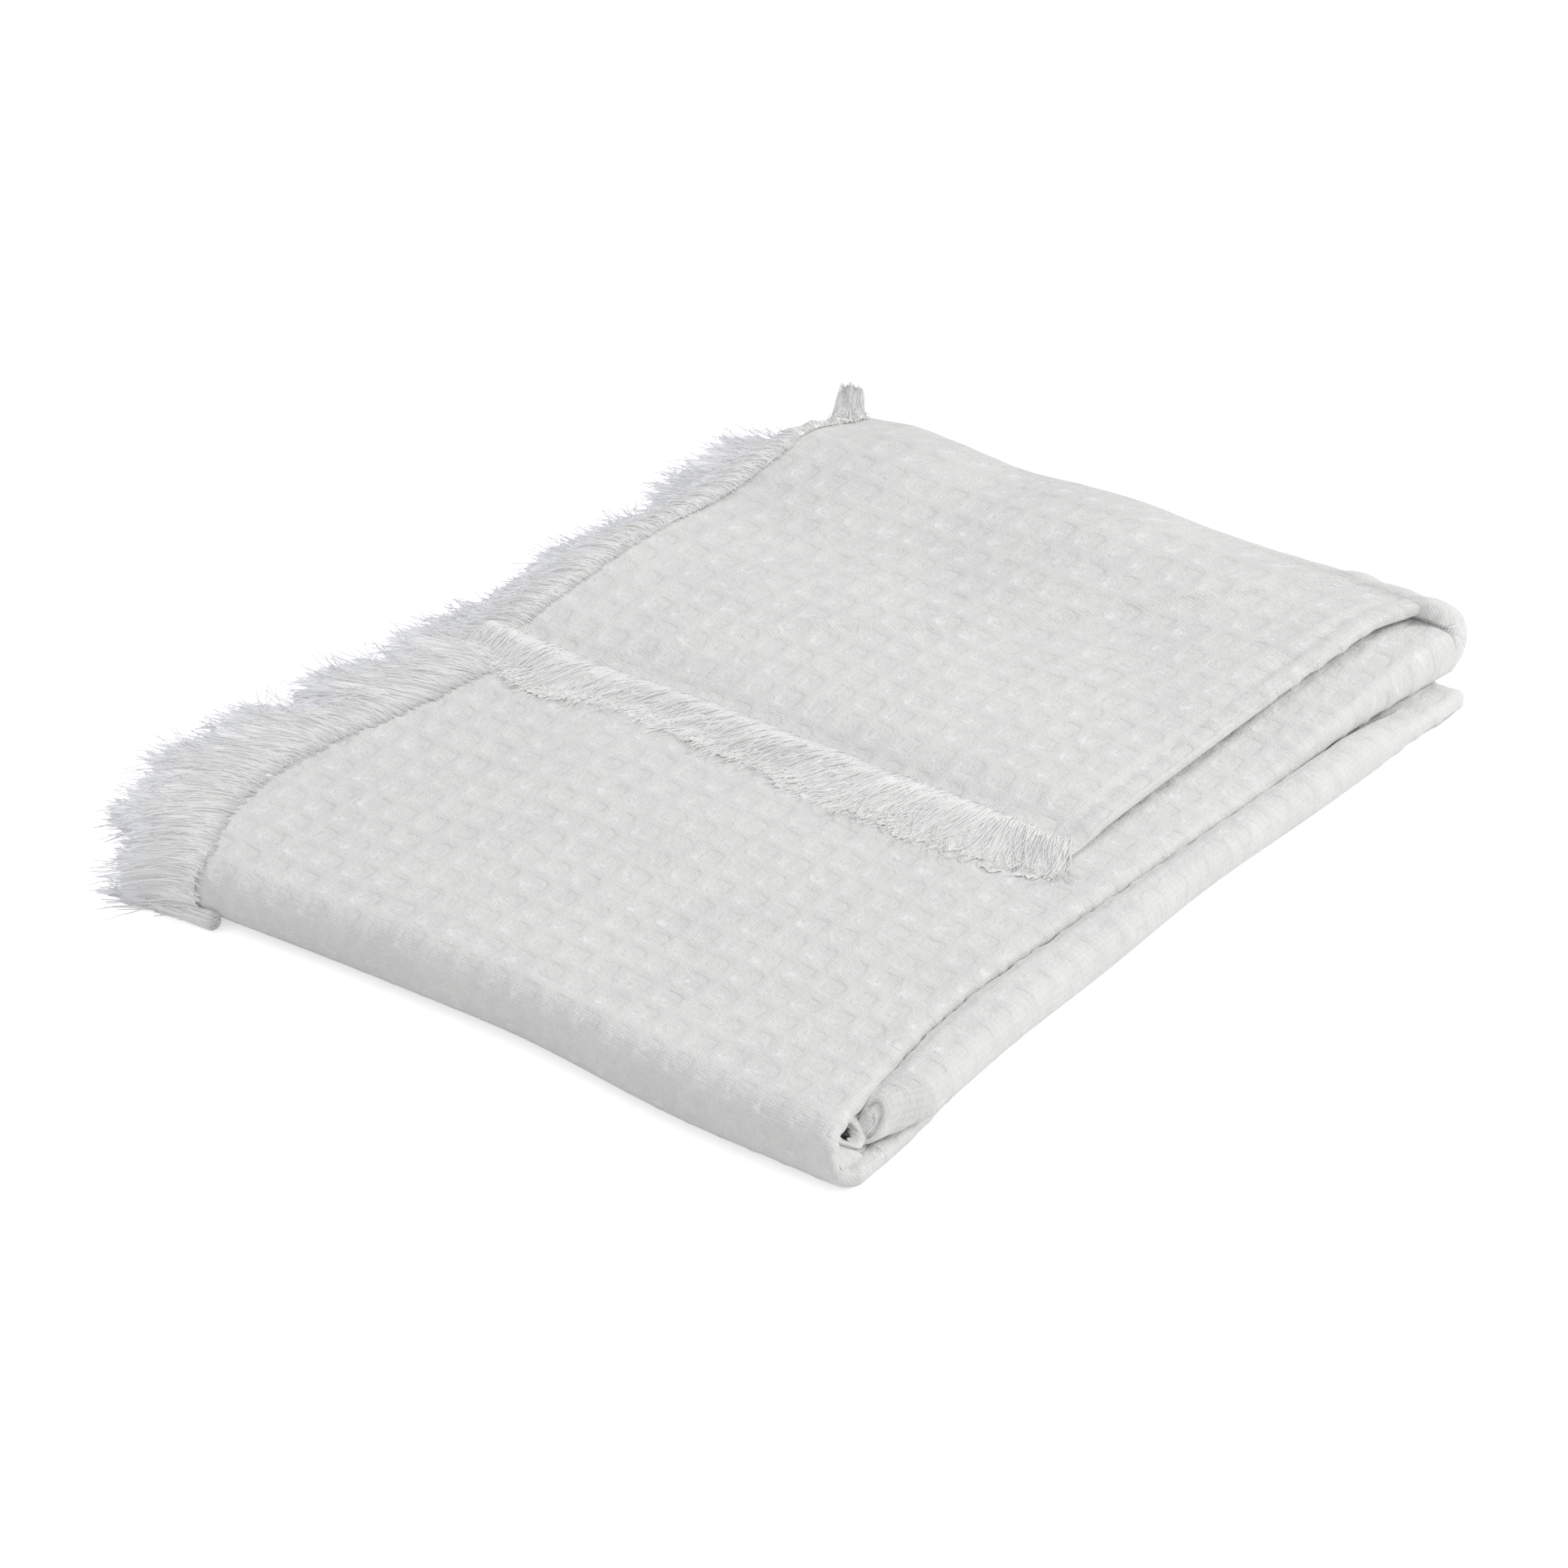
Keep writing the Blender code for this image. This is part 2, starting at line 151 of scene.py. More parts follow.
def loopAxis(x):
    share = swelling(x, backCentre)
    inside = insideRadius(x)
    return (backReach - sheet / 2 - halfPack * (1 + share) - inside,
            topHeight(x, backCentre) + halfPack * share + inside)


# The flap's layers lie closer together towards its free end
def flapShare(y):
    return 1 - 0.5 * ease((flapEnd + 0.035 - y) / 0.030)


def flapHeight(x, y):
    loopY = loopAxis(x)[0]
    flat = topHeight(x, y) + halfPack * (swelling(x, y) + flapShare(y)) + layer * flapShare(y)
    return flat + (2 * insideRadius(x) - layer) * ease((y - flapRest) / (loopY - flapRest))


def lying(y, height, share, heading):
    step = 0.0005
    slant = np.arctan((height(y + step) - height(y - step)) / (2 * step))
    return y, height(y), heading + slant, share(y)


def bending(centreY, centreZ, inside, heading, turn, shares, f):
    angle = heading + turn * f
    way = 1 if turn > 0 else -1
    share = shares[0] + (shares[1] - shares[0]) * f
    radius = inside + halfPack * share
    y = centreY + way * radius * np.sin(angle)
    z = centreZ - way * radius * np.cos(angle)
    return y, z, angle, share


# Middle line of the pack in the plane at x: y, z, heading and share of thickness at f along a panel
def pathPlace(panel, x, f):
    half = math.pi
    loopY, loopZ = loopAxis(x)
    backRadius = (innerLevel + backRise - bottomLevel) / 2
    backZ = bottomLevel + backRadius
    zero = x * 0 + f * 0
    if panel == "inner":
        y = innerFront + (backCentre - innerFront) * f + zero
        return lying(y, lambda v: innerLevel + rise(v), lambda v: 1 + 0 * v, 0)
    if panel == "back":
        return bending(backCentre, backZ, backRadius - halfPack, 0, -half, (1, 1), f + zero)
    if panel == "bottom":
        y = backCentre + (frontCentre - backCentre) * f + zero
        return lying(y, lambda v: bottomLevel + 0 * v, lambda v: 1 + 0 * v, -half)
    if panel == "front":
        return bending(frontCentre, innerLevel, pack - halfPack, -half, -half, (1, 1), f + zero)
    if panel == "top":
        y = frontCentre + (loopY - frontCentre) * f + zero
        return lying(y, lambda v: topHeight(x, v), lambda v: swelling(x, v), -2 * half)
    if panel == "loop":
        shares = (swelling(x, backCentre), 1)
        return bending(loopY, loopZ, insideRadius(x), -2 * half, half, shares, f + zero)
    y = loopY + (flapEnd - loopY) * f + zero
    return lying(y, lambda v: flapHeight(x, v), flapShare, -half)


def shiftAt(panel, f):
    return smoothLine(shifts[panel], f)


def outerEdge(panel, f):
    if panel in ("loop", "flap"):
        turned = ease(f) if panel == "loop" else 1.0 + 0 * f
        return edgeOuter - bulge[-1][1] + (edgeOuterFlap - edgeOuter + bulge[-1][1]) * turned
    return edgeOuter - (smoothLine(bulge, f) if panel == "top" else 0 * f)


# How the pile lies: waves of its edges (size, waves along and up, start), hills, the loop's hanging corner
wavesX = ((0.0013, 14, 60, 0.0), (0.0007, 37, -90, 1.2))
wavesY = ((0.0012, 16, 50, 0.5), (0.0006, 43, -70, 0.0))
hillHigh, rippleHigh = 0.020, 0.012
droop = {"deep": 0.006, "x": 0.035, "xRun": 0.045, "y": 0.475, "yRun": 0.040, "z": 0.040, "zRun": 0.012}


def wander(waves, along, z):
    return sum(size * np.sin(a * along + b * z + start) for size, a, b, start in waves)


def settle(x, y, z):
    lift = np.maximum(z - sheet / 2, 0)
    hills = hillHigh * np.sin(17 * x + 1.0) * np.sin(13 * y + 0.4) + rippleHigh * np.sin(41 * y + 9 * x)
    thin = thinLeft * (1 - ease((x + 0.03) / thinWidth)) * (1 - ease((y - thinFade) / thinFadeWidth))
    front = 1 - y / backReach
    bow = frontBow * np.exp(-((x - bowAt) / bowWidth) ** 2) * front ** 2
    slant = bow - frontSlant * (x - side / 2) * front
    placeX, placeY = x + wander(wavesX, y, z) - footX, y + wander(wavesY, x, z) + slant - footY
    hanging = droop["deep"] * ease((droop["x"] - x) / droop["xRun"]) * ease((y - droop["y"]) / droop["yRun"])
    z = z - hanging * ease((z - droop["z"]) / droop["zRun"])
    return np.stack([placeX, placeY, z + lift * (hills - thin)], axis=-1)


# The plump roll's end is slanted, drawn in at the right and rounded
rollEndFacts = {"y": 0.065, "yRun": 0.036, "x": 0.315, "xRun": 0.030, "closing": 0.22, "deep": 0.009,
                "slant": 0.75, "level": 0.010, "back": 0.001, "drawIn": 0.008, "drawX": 0.335,
                "middleX": 0.352, "middleZ": 0.0195}


def rollEnd(x, y, z):
    facts = rollEndFacts
    near = ease((facts["y"] - y) / facts["yRun"]) * ease((x - facts["x"]) / facts["xRun"])
    closing = facts["closing"] * near * np.clip(1 - (y - innerFront) / facts["deep"], 0, 1) ** 2
    back = (facts["slant"] * (z - facts["level"]) - facts["back"]) * near
    x = x - facts["drawIn"] * near * ease((x - facts["drawX"]) / facts["xRun"])
    return x + (facts["middleX"] - x) * closing, y + back, z + (facts["middleZ"] - z) * closing


def clothPlace(panel, f, x, w):
    across = x + shiftAt(panel, f)
    y, z, heading, share = pathPlace(panel, across, f)
    place = (across + 0 * y, y - w * share * np.sin(heading), z + w * share * np.cos(heading))
    return settle(*(rollEnd(*place) if panel == "inner" else place))


def hashed(a, b, seed):
    value = np.sin(a * 127.1 + b * 311.7 + seed * 74.7) * 43758.5453
    return value - np.floor(value)


def softNoise(x, y, seed):
    ix, iy = np.floor(x), np.floor(y)
    fx, fy = ease(x - ix), ease(y - iy)
    low = hashed(ix, iy, seed) * (1 - fx) + hashed(ix + 1, iy, seed) * fx
    high = hashed(ix, iy + 1, seed) * (1 - fx) + hashed(ix + 1, iy + 1, seed) * fx
    return 2 * (low * (1 - fy) + high * fy) - 1


# The honeycomb: shallow square pits between broad soft ridges, each a little different.
# s and t are the places in the opened cloth, in metres; the wandering places in cells go to the shader too.
pitDepth, ridgeDepth = 0.00048, 0.00016


def cellPlace(s, t):
    u = s + 0.0016 * softNoise(s / 0.060, t / 0.070, 1) + 0.0008 * softNoise(s / 0.021, t / 0.024, 2)
    v = t + 0.0016 * softNoise(s / 0.066, t / 0.058, 3) + 0.0008 * softNoise(s / 0.023, t / 0.020, 4)
    return u / cell, v / cell


def honeycomb(u, v):
    iu, iv = np.floor(u), np.floor(v)
    x, y = u - iu - 0.5, v - iv - 0.5
    size = 1 + 0.24 * (hashed(iu, iv, 7) - 0.5)
    reach = (np.abs(x * size) ** 4 + np.abs(y * size) ** 4) ** 0.25
    ridge = 1 - ease((np.maximum(np.abs(x), np.abs(y)) - 0.30) / 0.20)
    return pitDepth * (0.45 + 0.9 * hashed(iu, iv, 8)) * ease((0.375 - reach) / 0.13) + ridgeDepth * ridge


def samples(parts):
    names, fractions, lengths = [], [], []
    for panel, start, end, step in parts:
        count = max(int(round(abs(end - start) * panelLength[panel] / step)), 2)
        for f in np.linspace(start, end, count, endpoint=False):
            names.append(panel)
            fractions.append(f)
            lengths.append(panelStart[panel] + f * panelLength[panel])
    names.append(parts[-1][0])
    fractions.append(parts[-1][2])
    lengths.append(panelStart[parts[-1][0]] + parts[-1][2] * panelLength[parts[-1][0]])
    return np.array(names), np.array(fractions), np.array(lengths)


def flatRun(start, end, height, step):
    count = max(int(round(abs(end - start) / step)), 1)
    return [(x, height) for x in np.linspace(start, end, count, endpoint=False)]


# Points round a fold, squarer than an ellipse where square is under 1, as in folds that lie on each other
def turn(centreX, centreW, long, high, start, end, count, square=1.0):
    line = []
    for a in np.linspace(start, end, count, endpoint=False):
        cosine, sine = math.cos(a), math.sin(a)
        line.append((centreX + long * math.copysign(abs(cosine) ** square, cosine),
                     centreW + high * math.copysign(abs(sine) ** square, sine)))
    return line


# Side fold: up to the roll, round it and back under it to the middle layer, in its usual and plump forms
def sideFold(step):
    count = max(int(round(tuckRun / step)), 4)
    usual, plump = [], []
    top, bottom = plumpLift + plumpRadius, plumpLift - plumpRadius
    for f in np.linspace(0, 1, count, endpoint=False):
        usual.append((tuckX + tuckRun * f, halfPack))
        plump.append((tuckX + tuckRun * f, halfPack + (top - halfPack) * float(ease(f))))
    arc = int(round(math.pi * plumpRadius / step))
    usual += turn(rollX, 0, rollLong, halfPack, quarter, -quarter, arc, 0.72)
    upper = turn(rollX, plumpLift, plumpRadius, plumpRadius, quarter, -quarter, arc, 0.85)
    under = turn(rollX, plumpLift, plumpRadius, plumpRadius, quarter, -quarter, arc, 0.70)
    plump += [a if a[1] > plumpLift else b for a, b in zip(upper, under)]
    for f in np.linspace(0, 1, count + 1):
        usual.append((rollX - tuckRun * f, -halfPack + (layer / 2 + halfPack) * float(ease(f))))
        plump.append((rollX - tuckRun * f, bottom + (layer / 2 - bottom) * float(ease(f))))
    return usual, plump


# Length along a line of (x, w) places, counted so that it is x on the first flat run
def measured(line):
    lengths = np.concatenate([[0], np.cumsum(np.hypot(*np.diff(np.array(line), axis=0).T))])
    return line[0][0] + lengths


# Height of the plump roll's upper side, which starts steeply right beside the top panel's side fold
beside = {"high": 0.0066, "before": 0.0024, "run": 0.0034, "after": 0.0004, "afterRun": 0.008, "wave": 0.0005}


def besideTop(x, f):
    y = innerFront + (backCentre - innerFront) * f
    foldX = side + smoothLine(shifts["top"], np.clip((y - frontCentre) / 0.5, 0, 1)) - shiftAt("inner", f)
    foldX = foldX + beside["wave"] * softNoise(y / 0.009, y * 0, 63.0)
    steep = beside["high"] * ease((x - foldX + beside["before"]) / beside["run"])
    rest = plumpLift + plumpRadius - halfPack - beside["high"]
    return halfPack + steep + rest * ease((x - foldX - beside["after"]) / beside["afterRun"])


def plumpAt(panel, f):
    y = innerFront + (backCentre - innerFront) * f
    return ease((plumpEnd - y) / plumpFade) * (1.0 if panel == "inner" else 0.0)


def unit(vectors):
    return vectors / np.maximum(np.linalg.norm(vectors, axis=-1, keepdims=True), 1e-12)


def gridNormals(places):
    return unit(np.cross(np.gradient(places, axis=1), np.gradient(places, axis=0)))


# Mesh from an array of places, the corners of its faces in a row, and where each face starts in that row
def arrayMesh(name, places, loops, starts):
    mesh = bpy.data.meshes.new(name)
    mesh.vertices.add(places.size // 3)
    mesh.vertices.foreach_set("co", places.reshape(-1).astype(np.float32))
    mesh.loops.add(len(loops))
    mesh.loops.foreach_set("vertex_index", loops.astype(np.int32))
    mesh.polygons.add(len(starts))
    mesh.polygons.foreach_set("loop_start", starts.astype(np.int32))
    mesh.update(calc_edges=True)
    mesh.shade_smooth()
    return mesh


def addUv(mesh, name, s, t, loops):
    corners = np.stack([s, t], axis=-1).reshape(-1, 2)[loops]
    mesh.uv_layers.new(name=name).data.foreach_set("uv", corners.reshape(-1).astype(np.float32))


def addTips(mesh, tips):
    shades = mesh.attributes.new("tip", "FLOAT", "POINT").data
    shades.foreach_set("value", tips.reshape(-1).astype(np.float32))


def gridMesh(name, places, s, t):
    rows, columns = places.shape[:2]
    index = np.arange(rows * columns).reshape(rows, columns)
    quads = np.stack([index[:-1, :-1], index[:-1, 1:], index[1:, 1:], index[1:, :-1]], axis=-1)
    loops = quads.reshape(-1)
    mesh = arrayMesh(name, places, loops, np.arange(0, loops.size, 4))
    addUv(mesh, "flat", s, t, loops)
    addUv(mesh, "cells", *cellPlace(s, t), loops)
    return mesh


def cutMesh(mesh, indices, kind):
    bm = bmesh.new()
    bm.from_mesh(mesh)
    parts = bm.faces if kind == "FACES" else bm.verts
    parts.ensure_lookup_table()
    bmesh.ops.delete(bm, geom=[parts[i] for i in indices], context=kind)
    bm.to_mesh(mesh)
    bm.free()


def addPiece(mesh, material, node):
    piece = linked(mesh.name, mesh)
    mesh.materials.append(material)
    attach(piece, "root")
    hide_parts(node)
    print(piece.name, "triangles", sum(len(p.vertices) - 2 for p in mesh.polygons))
    return piece


# Turned-in lips along the open edges, so that the cloth shows its thickness: how deep and how far out
lips = ((0.0021, -0.0012), (0.0019, 0.0001), (0.0010, 0.0006), (0.0003, 0.0003))


def rimmed(places, normals, s, t, rims):
    grids = [places, normals, s, t]
    for rim in rims:
        flip, across = rim in ("endT", "endS"), rim in ("startS", "endS")
        grids = [np.swapaxes(a, 0, 1) if across else a for a in grids]
        places, normals, s, t = [a[::-1] if flip else a for a in grids]
        outward = unit(places[0] - places[1])
        lip = [places[0] - normals[0] * deep + outward * out for deep, out in lips]
        places = np.concatenate([np.stack(lip), places])
        grids = [places] + [np.concatenate([np.repeat(a[:1], len(lips), axis=0), a]) for a in (normals, s, t)]
        grids = [a[::-1] if flip else a for a in grids]
        grids = [np.swapaxes(a, 0, 1) if across else a for a in grids]
    return grids[0], grids[2], grids[3]


def clothPiece(facts):
    names, fractions, lengths = samples(facts["along"])
    usual, plump = np.array(facts["line"]), np.array(facts.get("plumpLine", facts["line"]))
    s = measured(facts["line"])
    rows, columns = len(names), len(usual)
    stretch = facts["stretch"]
    opening = usual[stretch, 0]
    places = np.zeros((rows, columns, 3))
    sAll = np.repeat(s[None, :], rows, axis=0)
    tAll = np.repeat(lengths[:, None], columns, axis=1)
    sink = np.zeros((rows, columns))
    for panel in dict.fromkeys(names):
        chosen = np.where(names == panel)[0]
        f = fractions[chosen][:, None]
        part = plumpAt(panel, f)
        x = usual[None, :, 0] * (1 - part) + plump[None, :, 0] * part
        high = plump[None, :, 1] + 0 * f
        if panel == "inner" and "beside" in facts:
            high[:, facts["beside"]] = besideTop(plump[None, facts["beside"], 0], f)
        w = usual[None, :, 1] * (1 - part) + high * part
        edge = outerEdge(panel, f) + 0.0016 * softNoise(f * panelLength[panel] / 0.011, f * 0, 55.0)
        x[:, :stretch] = edge + (opening - edge) * np.linspace(0, 1, stretch + 1)[None, :-1]
        sAll[chosen, :stretch] = x[:, :stretch]
        sAll[chosen] += shiftAt(panel, f) - shifts["top"][0][1]
        places[chosen] = clothPlace(panel, f, x, w)
        if "sink" in facts:
            sink[chosen] = facts["sink"](panel, f, np.arange(columns)[None, :])
    normals = gridNormals(places)
    places = places + normals * (sheet / 2 - sink)[..., None]
    if facts.get("sculpt"):
        places = facts["sculpt"](places, sAll, tAll, normals)
        normals = gridNormals(places)
    sAll, tAll = sAll * facts.get("mirror", 1), tAll * facts.get("mirror", 1)
    places = places - normals * honeycomb(*cellPlace(sAll, tAll))[..., None]
    places, sAll, tAll = rimmed(places, normals, sAll, tAll, facts["rims"])
    places[..., 2] = np.maximum(places[..., 2], 0.0)
    return addPiece(gridMesh(facts["name"], places, sAll, tAll), cotton, "bedspread")


# Small helpers for the node trees
def newGroup(name, inputs, outputs):
    group = bpy.data.node_groups.new(name, "ShaderNodeTree")
    for label, kind in inputs:
        group.interface.new_socket(label, in_out="INPUT", socket_type=kind)
    for label, kind in outputs:
        group.interface.new_socket(label, in_out="OUTPUT", socket_type=kind)
    return group, group.nodes.new("NodeGroupInput"), group.nodes.new("NodeGroupOutput")


def addMath(tree, operation, first, second=None, third=None):
    node = tree.nodes.new("ShaderNodeMath")
    node.operation = operation
    for socket, value in zip(node.inputs, (first, second, third)):
        if isinstance(value, (int, float)):
            socket.default_value = value
        elif value is not None:
            tree.links.new(value, socket)
    return node.outputs[0]


def addSteps(tree, value, low, high, start=0.0, end=1.0):
    node = tree.nodes.new("ShaderNodeMapRange")
    node.interpolation_type = "SMOOTHSTEP"
    tree.links.new(value, node.inputs["Value"])
    return fill(node, {"From Min": low, "From Max": high, "To Min": start, "To Max": end}).outputs["Result"]


def addNoise(tree, place, scale, detail, output="Fac"):
    node = fill(tree.nodes.new("ShaderNodeTexNoise"), {"Scale": scale, "Detail": detail})
    tree.links.new(place, node.inputs["Vector"])
    return node.outputs[output]


def addVector(tree, operation, first, second=None, scale=None):
    node = tree.nodes.new("ShaderNodeVectorMath")
    node.operation = operation
    tree.links.new(first, node.inputs[0])
    if isinstance(second, tuple):
        node.inputs[1].default_value = second
    elif second is not None:
        tree.links.new(second, node.inputs[1])
    if scale is not None:
        node.inputs["Scale"].default_value = scale
    return node.outputs[0]


def addTint(tree, factor, first, second):
    node = tree.nodes.new("ShaderNodeMix")
    node.data_type = "RGBA"
    tree.links.new(factor, node.inputs["Factor"])
    for label, value in (("A", first), ("B", second)):
        if isinstance(value, tuple):
            node.inputs[label].default_value = value
        else:
            tree.links.new(value, node.inputs[label])
    return node.outputs["Result"]


# The weave in one cell: a broken line round the pit, its lit and shaded sides, and the threads' height
weaveFacts = {"wander": 0.34, "ragged": 0.50, "spotLong": 2.6, "spotOff": 1.1, "spotShort": 3.6, "pit": 0.285,
              "line": 0.085, "threads": 200, "threadHigh": 0.4, "spotHigh": 0.7, "pitDeep": -0.35}


def weaveGroup(facts):
    outputs = [(label, "NodeSocketFloat") for label in ("Height", "Lit", "Shaded", "Cloud")]
    inputs = [(label, "NodeSocketVector") for label in ("Cells", "Place")]
    tree, start, end = newGroup("weave", inputs, outputs)
    cells, place = start.outputs["Cells"], start.outputs["Place"]

    def calc(operation, *values):
        return addMath(tree, operation, *values)

    def shifted(base, scale, detail, share):
        noise = addVector(tree, "SUBTRACT", addNoise(tree, cells, scale, detail, "Color"), (0.5, 0.5, 0.5))
        return addVector(tree, "ADD", base, addVector(tree, "SCALE", noise, scale=share))

    def split(vector):
        node = tree.nodes.new("ShaderNodeSeparateXYZ")
        tree.links.new(vector, node.inputs[0])
        return node.outputs["X"], node.outputs["Y"]

    moved = shifted(cells, 1.7, 3, facts["wander"])
    local = addVector(tree, "SUBTRACT", addVector(tree, "FRACTION", moved), (0.5, 0.5, 0.5))
    x, y = split(local)
    raggedX, raggedY = split(shifted(local, 6.5, 4, facts["ragged"]))
    fourth = [calc("POWER", calc("ABSOLUTE", value), 4.0) for value in (x, y)]
    reach = calc("POWER", calc("ADD", *fourth), 0.25)
    broken = addSteps(tree, addNoise(tree, cells, 2.3, 4), 0.38, 0.66)
    away = calc("ABSOLUTE", calc("SUBTRACT", reach, facts["pit"]))
    inner = addSteps(tree, away, 0.0, facts["line"], 1.0, 0.0)
    lean = calc("MULTIPLY_ADD", calc("ADD", raggedX, raggedY), facts["spotLong"], facts["spotOff"])
    slope = calc("MULTIPLY", calc("SUBTRACT", raggedX, raggedY), facts["spotShort"])
    squares = [calc("POWER", calc("ABSOLUTE", value), 2.0) for value in (lean, slope)]
    lit = calc("MULTIPLY", addSteps(tree, calc("ADD", *squares), 0.0, 1.3, 1.0, 0.0), broken)
    shaded = calc("MULTIPLY", calc("MULTIPLY", inner, broken), addSteps(tree, calc("ADD", x, y), 0.05, 0.45))
    waves = []
    for direction in ("X", "Y"):
        wave = tree.nodes.new("ShaderNodeTexWave")
        wave.bands_direction = direction
        fill(wave, {"Scale": facts["threads"], "Distortion": 3.0, "Detail": 2.0, "Detail Scale": 2.0})
        tree.links.new(place, wave.inputs["Vector"])
        waves.append(wave.outputs["Fac"])
    height = calc("MULTIPLY", calc("MAXIMUM", *waves), facts["threadHigh"])
    for scale, detail, share in ((300, 4, 1.5), (95, 3, 1.6)):
        height = calc("MULTIPLY_ADD", addNoise(tree, place, scale, detail), share, height)
    height = calc("MULTIPLY_ADD", lit, facts["spotHigh"], height)
    height = calc("MULTIPLY_ADD", inner, facts["pitDeep"], height)
    cloud = -0.45
    for scale, detail, share in ((24, 4, 0.7), (140, 4, 0.7), (520, 3, 0.5)):
        cloud = calc("MULTIPLY_ADD", addNoise(tree, place, scale, detail), share, cloud)
    for label, value in (("Height", height), ("Lit", lit), ("Shaded", shaded), ("Cloud", cloud)):
        tree.links.new(value, end.inputs[label])
    return tree


weave = weaveGroup(weaveFacts)


def matt(material, roughness, sheen):
    return fill(material.node_tree.nodes["Principled BSDF"], {
        "Roughness": roughness, "Specular IOR Level": 0.2, "Sheen Weight": sheen, "Sheen Roughness": 0.6})


def addBump(tree, height, strength, distance):
    node = fill(tree.nodes.new("ShaderNodeBump"), {"Strength": strength, "Distance": distance})
    tree.links.new(height, node.inputs["Height"])
    return node.outputs["Normal"]


def cottonMaterial(facts):
    material = newMaterial("cotton_cloth")
    tree, shader = material.node_tree, matt(material, 0.9, 0.12)
    detail = tree.nodes.new("ShaderNodeGroup")
    detail.node_tree = weave
    for label, uv in (("Cells", "cells"), ("Place", "flat")):
        place = tree.nodes.new("ShaderNodeUVMap")
        place.uv_map = uv
        tree.links.new(place.outputs["UV"], detail.inputs[label])
    cloud = addSteps(tree, detail.outputs["Cloud"], 0.3, 0.7)
    colour = addTint(tree, cloud, facts["low"], facts["high"])
    for label, share, tint in (("Lit", "litShare", "lit"), ("Shaded", "shadedShare", "shaded")):
        factor = addMath(tree, "MULTIPLY", detail.outputs[label], facts[share])
        colour = addTint(tree, factor, colour, facts[tint])
    tree.links.new(colour, shader.inputs["Base Color"])
    bump = addBump(tree, detail.outputs["Height"], facts["bump"], facts["bumpDeep"])
    tree.links.new(bump, shader.inputs["Normal"])
    return material


cotton = cottonMaterial({
    "low": (0.765, 0.764, 0.760, 1), "high": (0.820, 0.819, 0.812, 1), "bump": 0.9, "bumpDeep": 0.0005,
    "lit": (0.90, 0.90, 0.90, 1), "litShare": 0.8, "shaded": (0.60, 0.60, 0.59, 1), "shadedShare": 0.20})


# Yarn of the fringe, whiter than the cloth and a little lilac at its tips
yarnFacts = {"root": (0.880, 0.880, 0.875, 1), "tip": (0.86, 0.865, 0.905, 1), "glow": 0.10, "bump": 0.6}


def yarnMaterial(name, along, across, deep):
    material = newMaterial(name)
    tree, shader = material.node_tree, matt(material, 0.9, 0.2)
    tip = tree.nodes.new("ShaderNodeAttribute")
    tip.attribute_name = "tip"
    toTip = addSteps(tree, tip.outputs["Fac"], 0.5, 1.05)
    colour = addTint(tree, toTip, yarnFacts["root"], yarnFacts["tip"])
    tree.links.new(colour, shader.inputs["Base Color"])
    tree.links.new(colour, shader.inputs["Emission Color"])      # painted glow: the yarn gives off a little light of its own, standing in for light that comes through the fine fibres
    shader.inputs["Emission Strength"].default_value = yarnFacts["glow"]
    place = tree.nodes.new("ShaderNodeUVMap")
    place.uv_map = "flat"
    stretched = addVector(tree, "MULTIPLY", place.outputs["UV"], (along, across, 1))
    bump = addBump(tree, addNoise(tree, stretched, 1.0, 3), yarnFacts["bump"], deep)
    tree.links.new(bump, shader.inputs["Normal"])
    return material


yarn = yarnMaterial("cotton_yarn", 400, 900, 0.0002)
mat = yarnMaterial("cotton_yarn_bed", 60, 900, 0.0003)
fine = 0.0016
coarse = 0.0032
grooveAt, grooveDeep, grooveWidth = 0.3515, 0.0014, 0.0035
sinkDeep = 0.0005


# Top panel with the front fold: the open outer layer and its side fold.
# In the loop it sinks a little where the flap's skin takes over.
def topSculpt(places, s, t, normals):
    swell = 0.0007 * softNoise(places[..., 0] / 0.060, places[..., 1] / 0.075, 21)
    fade = ease((t - panelStart["front"]) / 0.03)
    return places + normals * (swell * fade)[..., None]


usualFold, plumpFold = sideFold(0.0011)
topFlat = [(edgeOuter, halfPack)] * 28 + flatRun(0.030, tuckX, halfPack, fine)
topFacts = {
    "name": "cloth_top", "flat": (0.405, 0.600), "sculpt": topSculpt,
    "rims": ["startS", "startT"], "stretch": 28, "line": topFlat + usualFold,
    "sink": lambda panel, f, column: sinkDeep * ease((f - 0.44) / 0.05) if panel == "loop" else 0 * f,
    "along": [("bottom", 0.96, 1.0, fine), ("front", 0, 1, fine), ("top", 0, 0.53, fine),
              ("top", 0.53, 1, 0.0022), ("loop", 0, 0.5, fine)],
}
clothTop = clothPiece(topFacts)

# Bottom and inner panels with the fold at the back
bottomFlat = ([(edgeOuter, halfPack)] * 10 + flatRun(0.030, 0.325, halfPack, coarse)
              + flatRun(0.325, tuckX, halfPack, 0.0018))
bottomFacts = {
    "beside": slice(len(bottomFlat) - 14, len(bottomFlat) + 11),
    "name": "cloth_bottom", "flat": (0.405, 1.010), "stretch": 10,
    "rims": ["startS", "startT", "endT"], "line": bottomFlat + usualFold, "plumpLine": bottomFlat + plumpFold,
    "along": [("inner", 0, 1, 0.0022), ("back", 0, 1, 0.0022), ("bottom", 0, 0.965, 0.0026)],
}
clothBottom = clothPiece(bottomFacts)


# Flap and loop in one skin: underside, thick side fold and upper face with the groove beside the short fold
creaseX = (-0.05, 0.013, 0.094, 0.142, 0.276, 0.310)
creaseY = (0.238, 0.249, 0.340, 0.376, 0.499, 0.535)
crease = {"lean": 0.72, "high": 0.0016, "highAt": 0.004, "highWide": 0.006, "step": 0.0012, "stepRun": 0.020,
          "deep": 0.0010, "deepAt": -0.002, "deepWide": 0.0022}


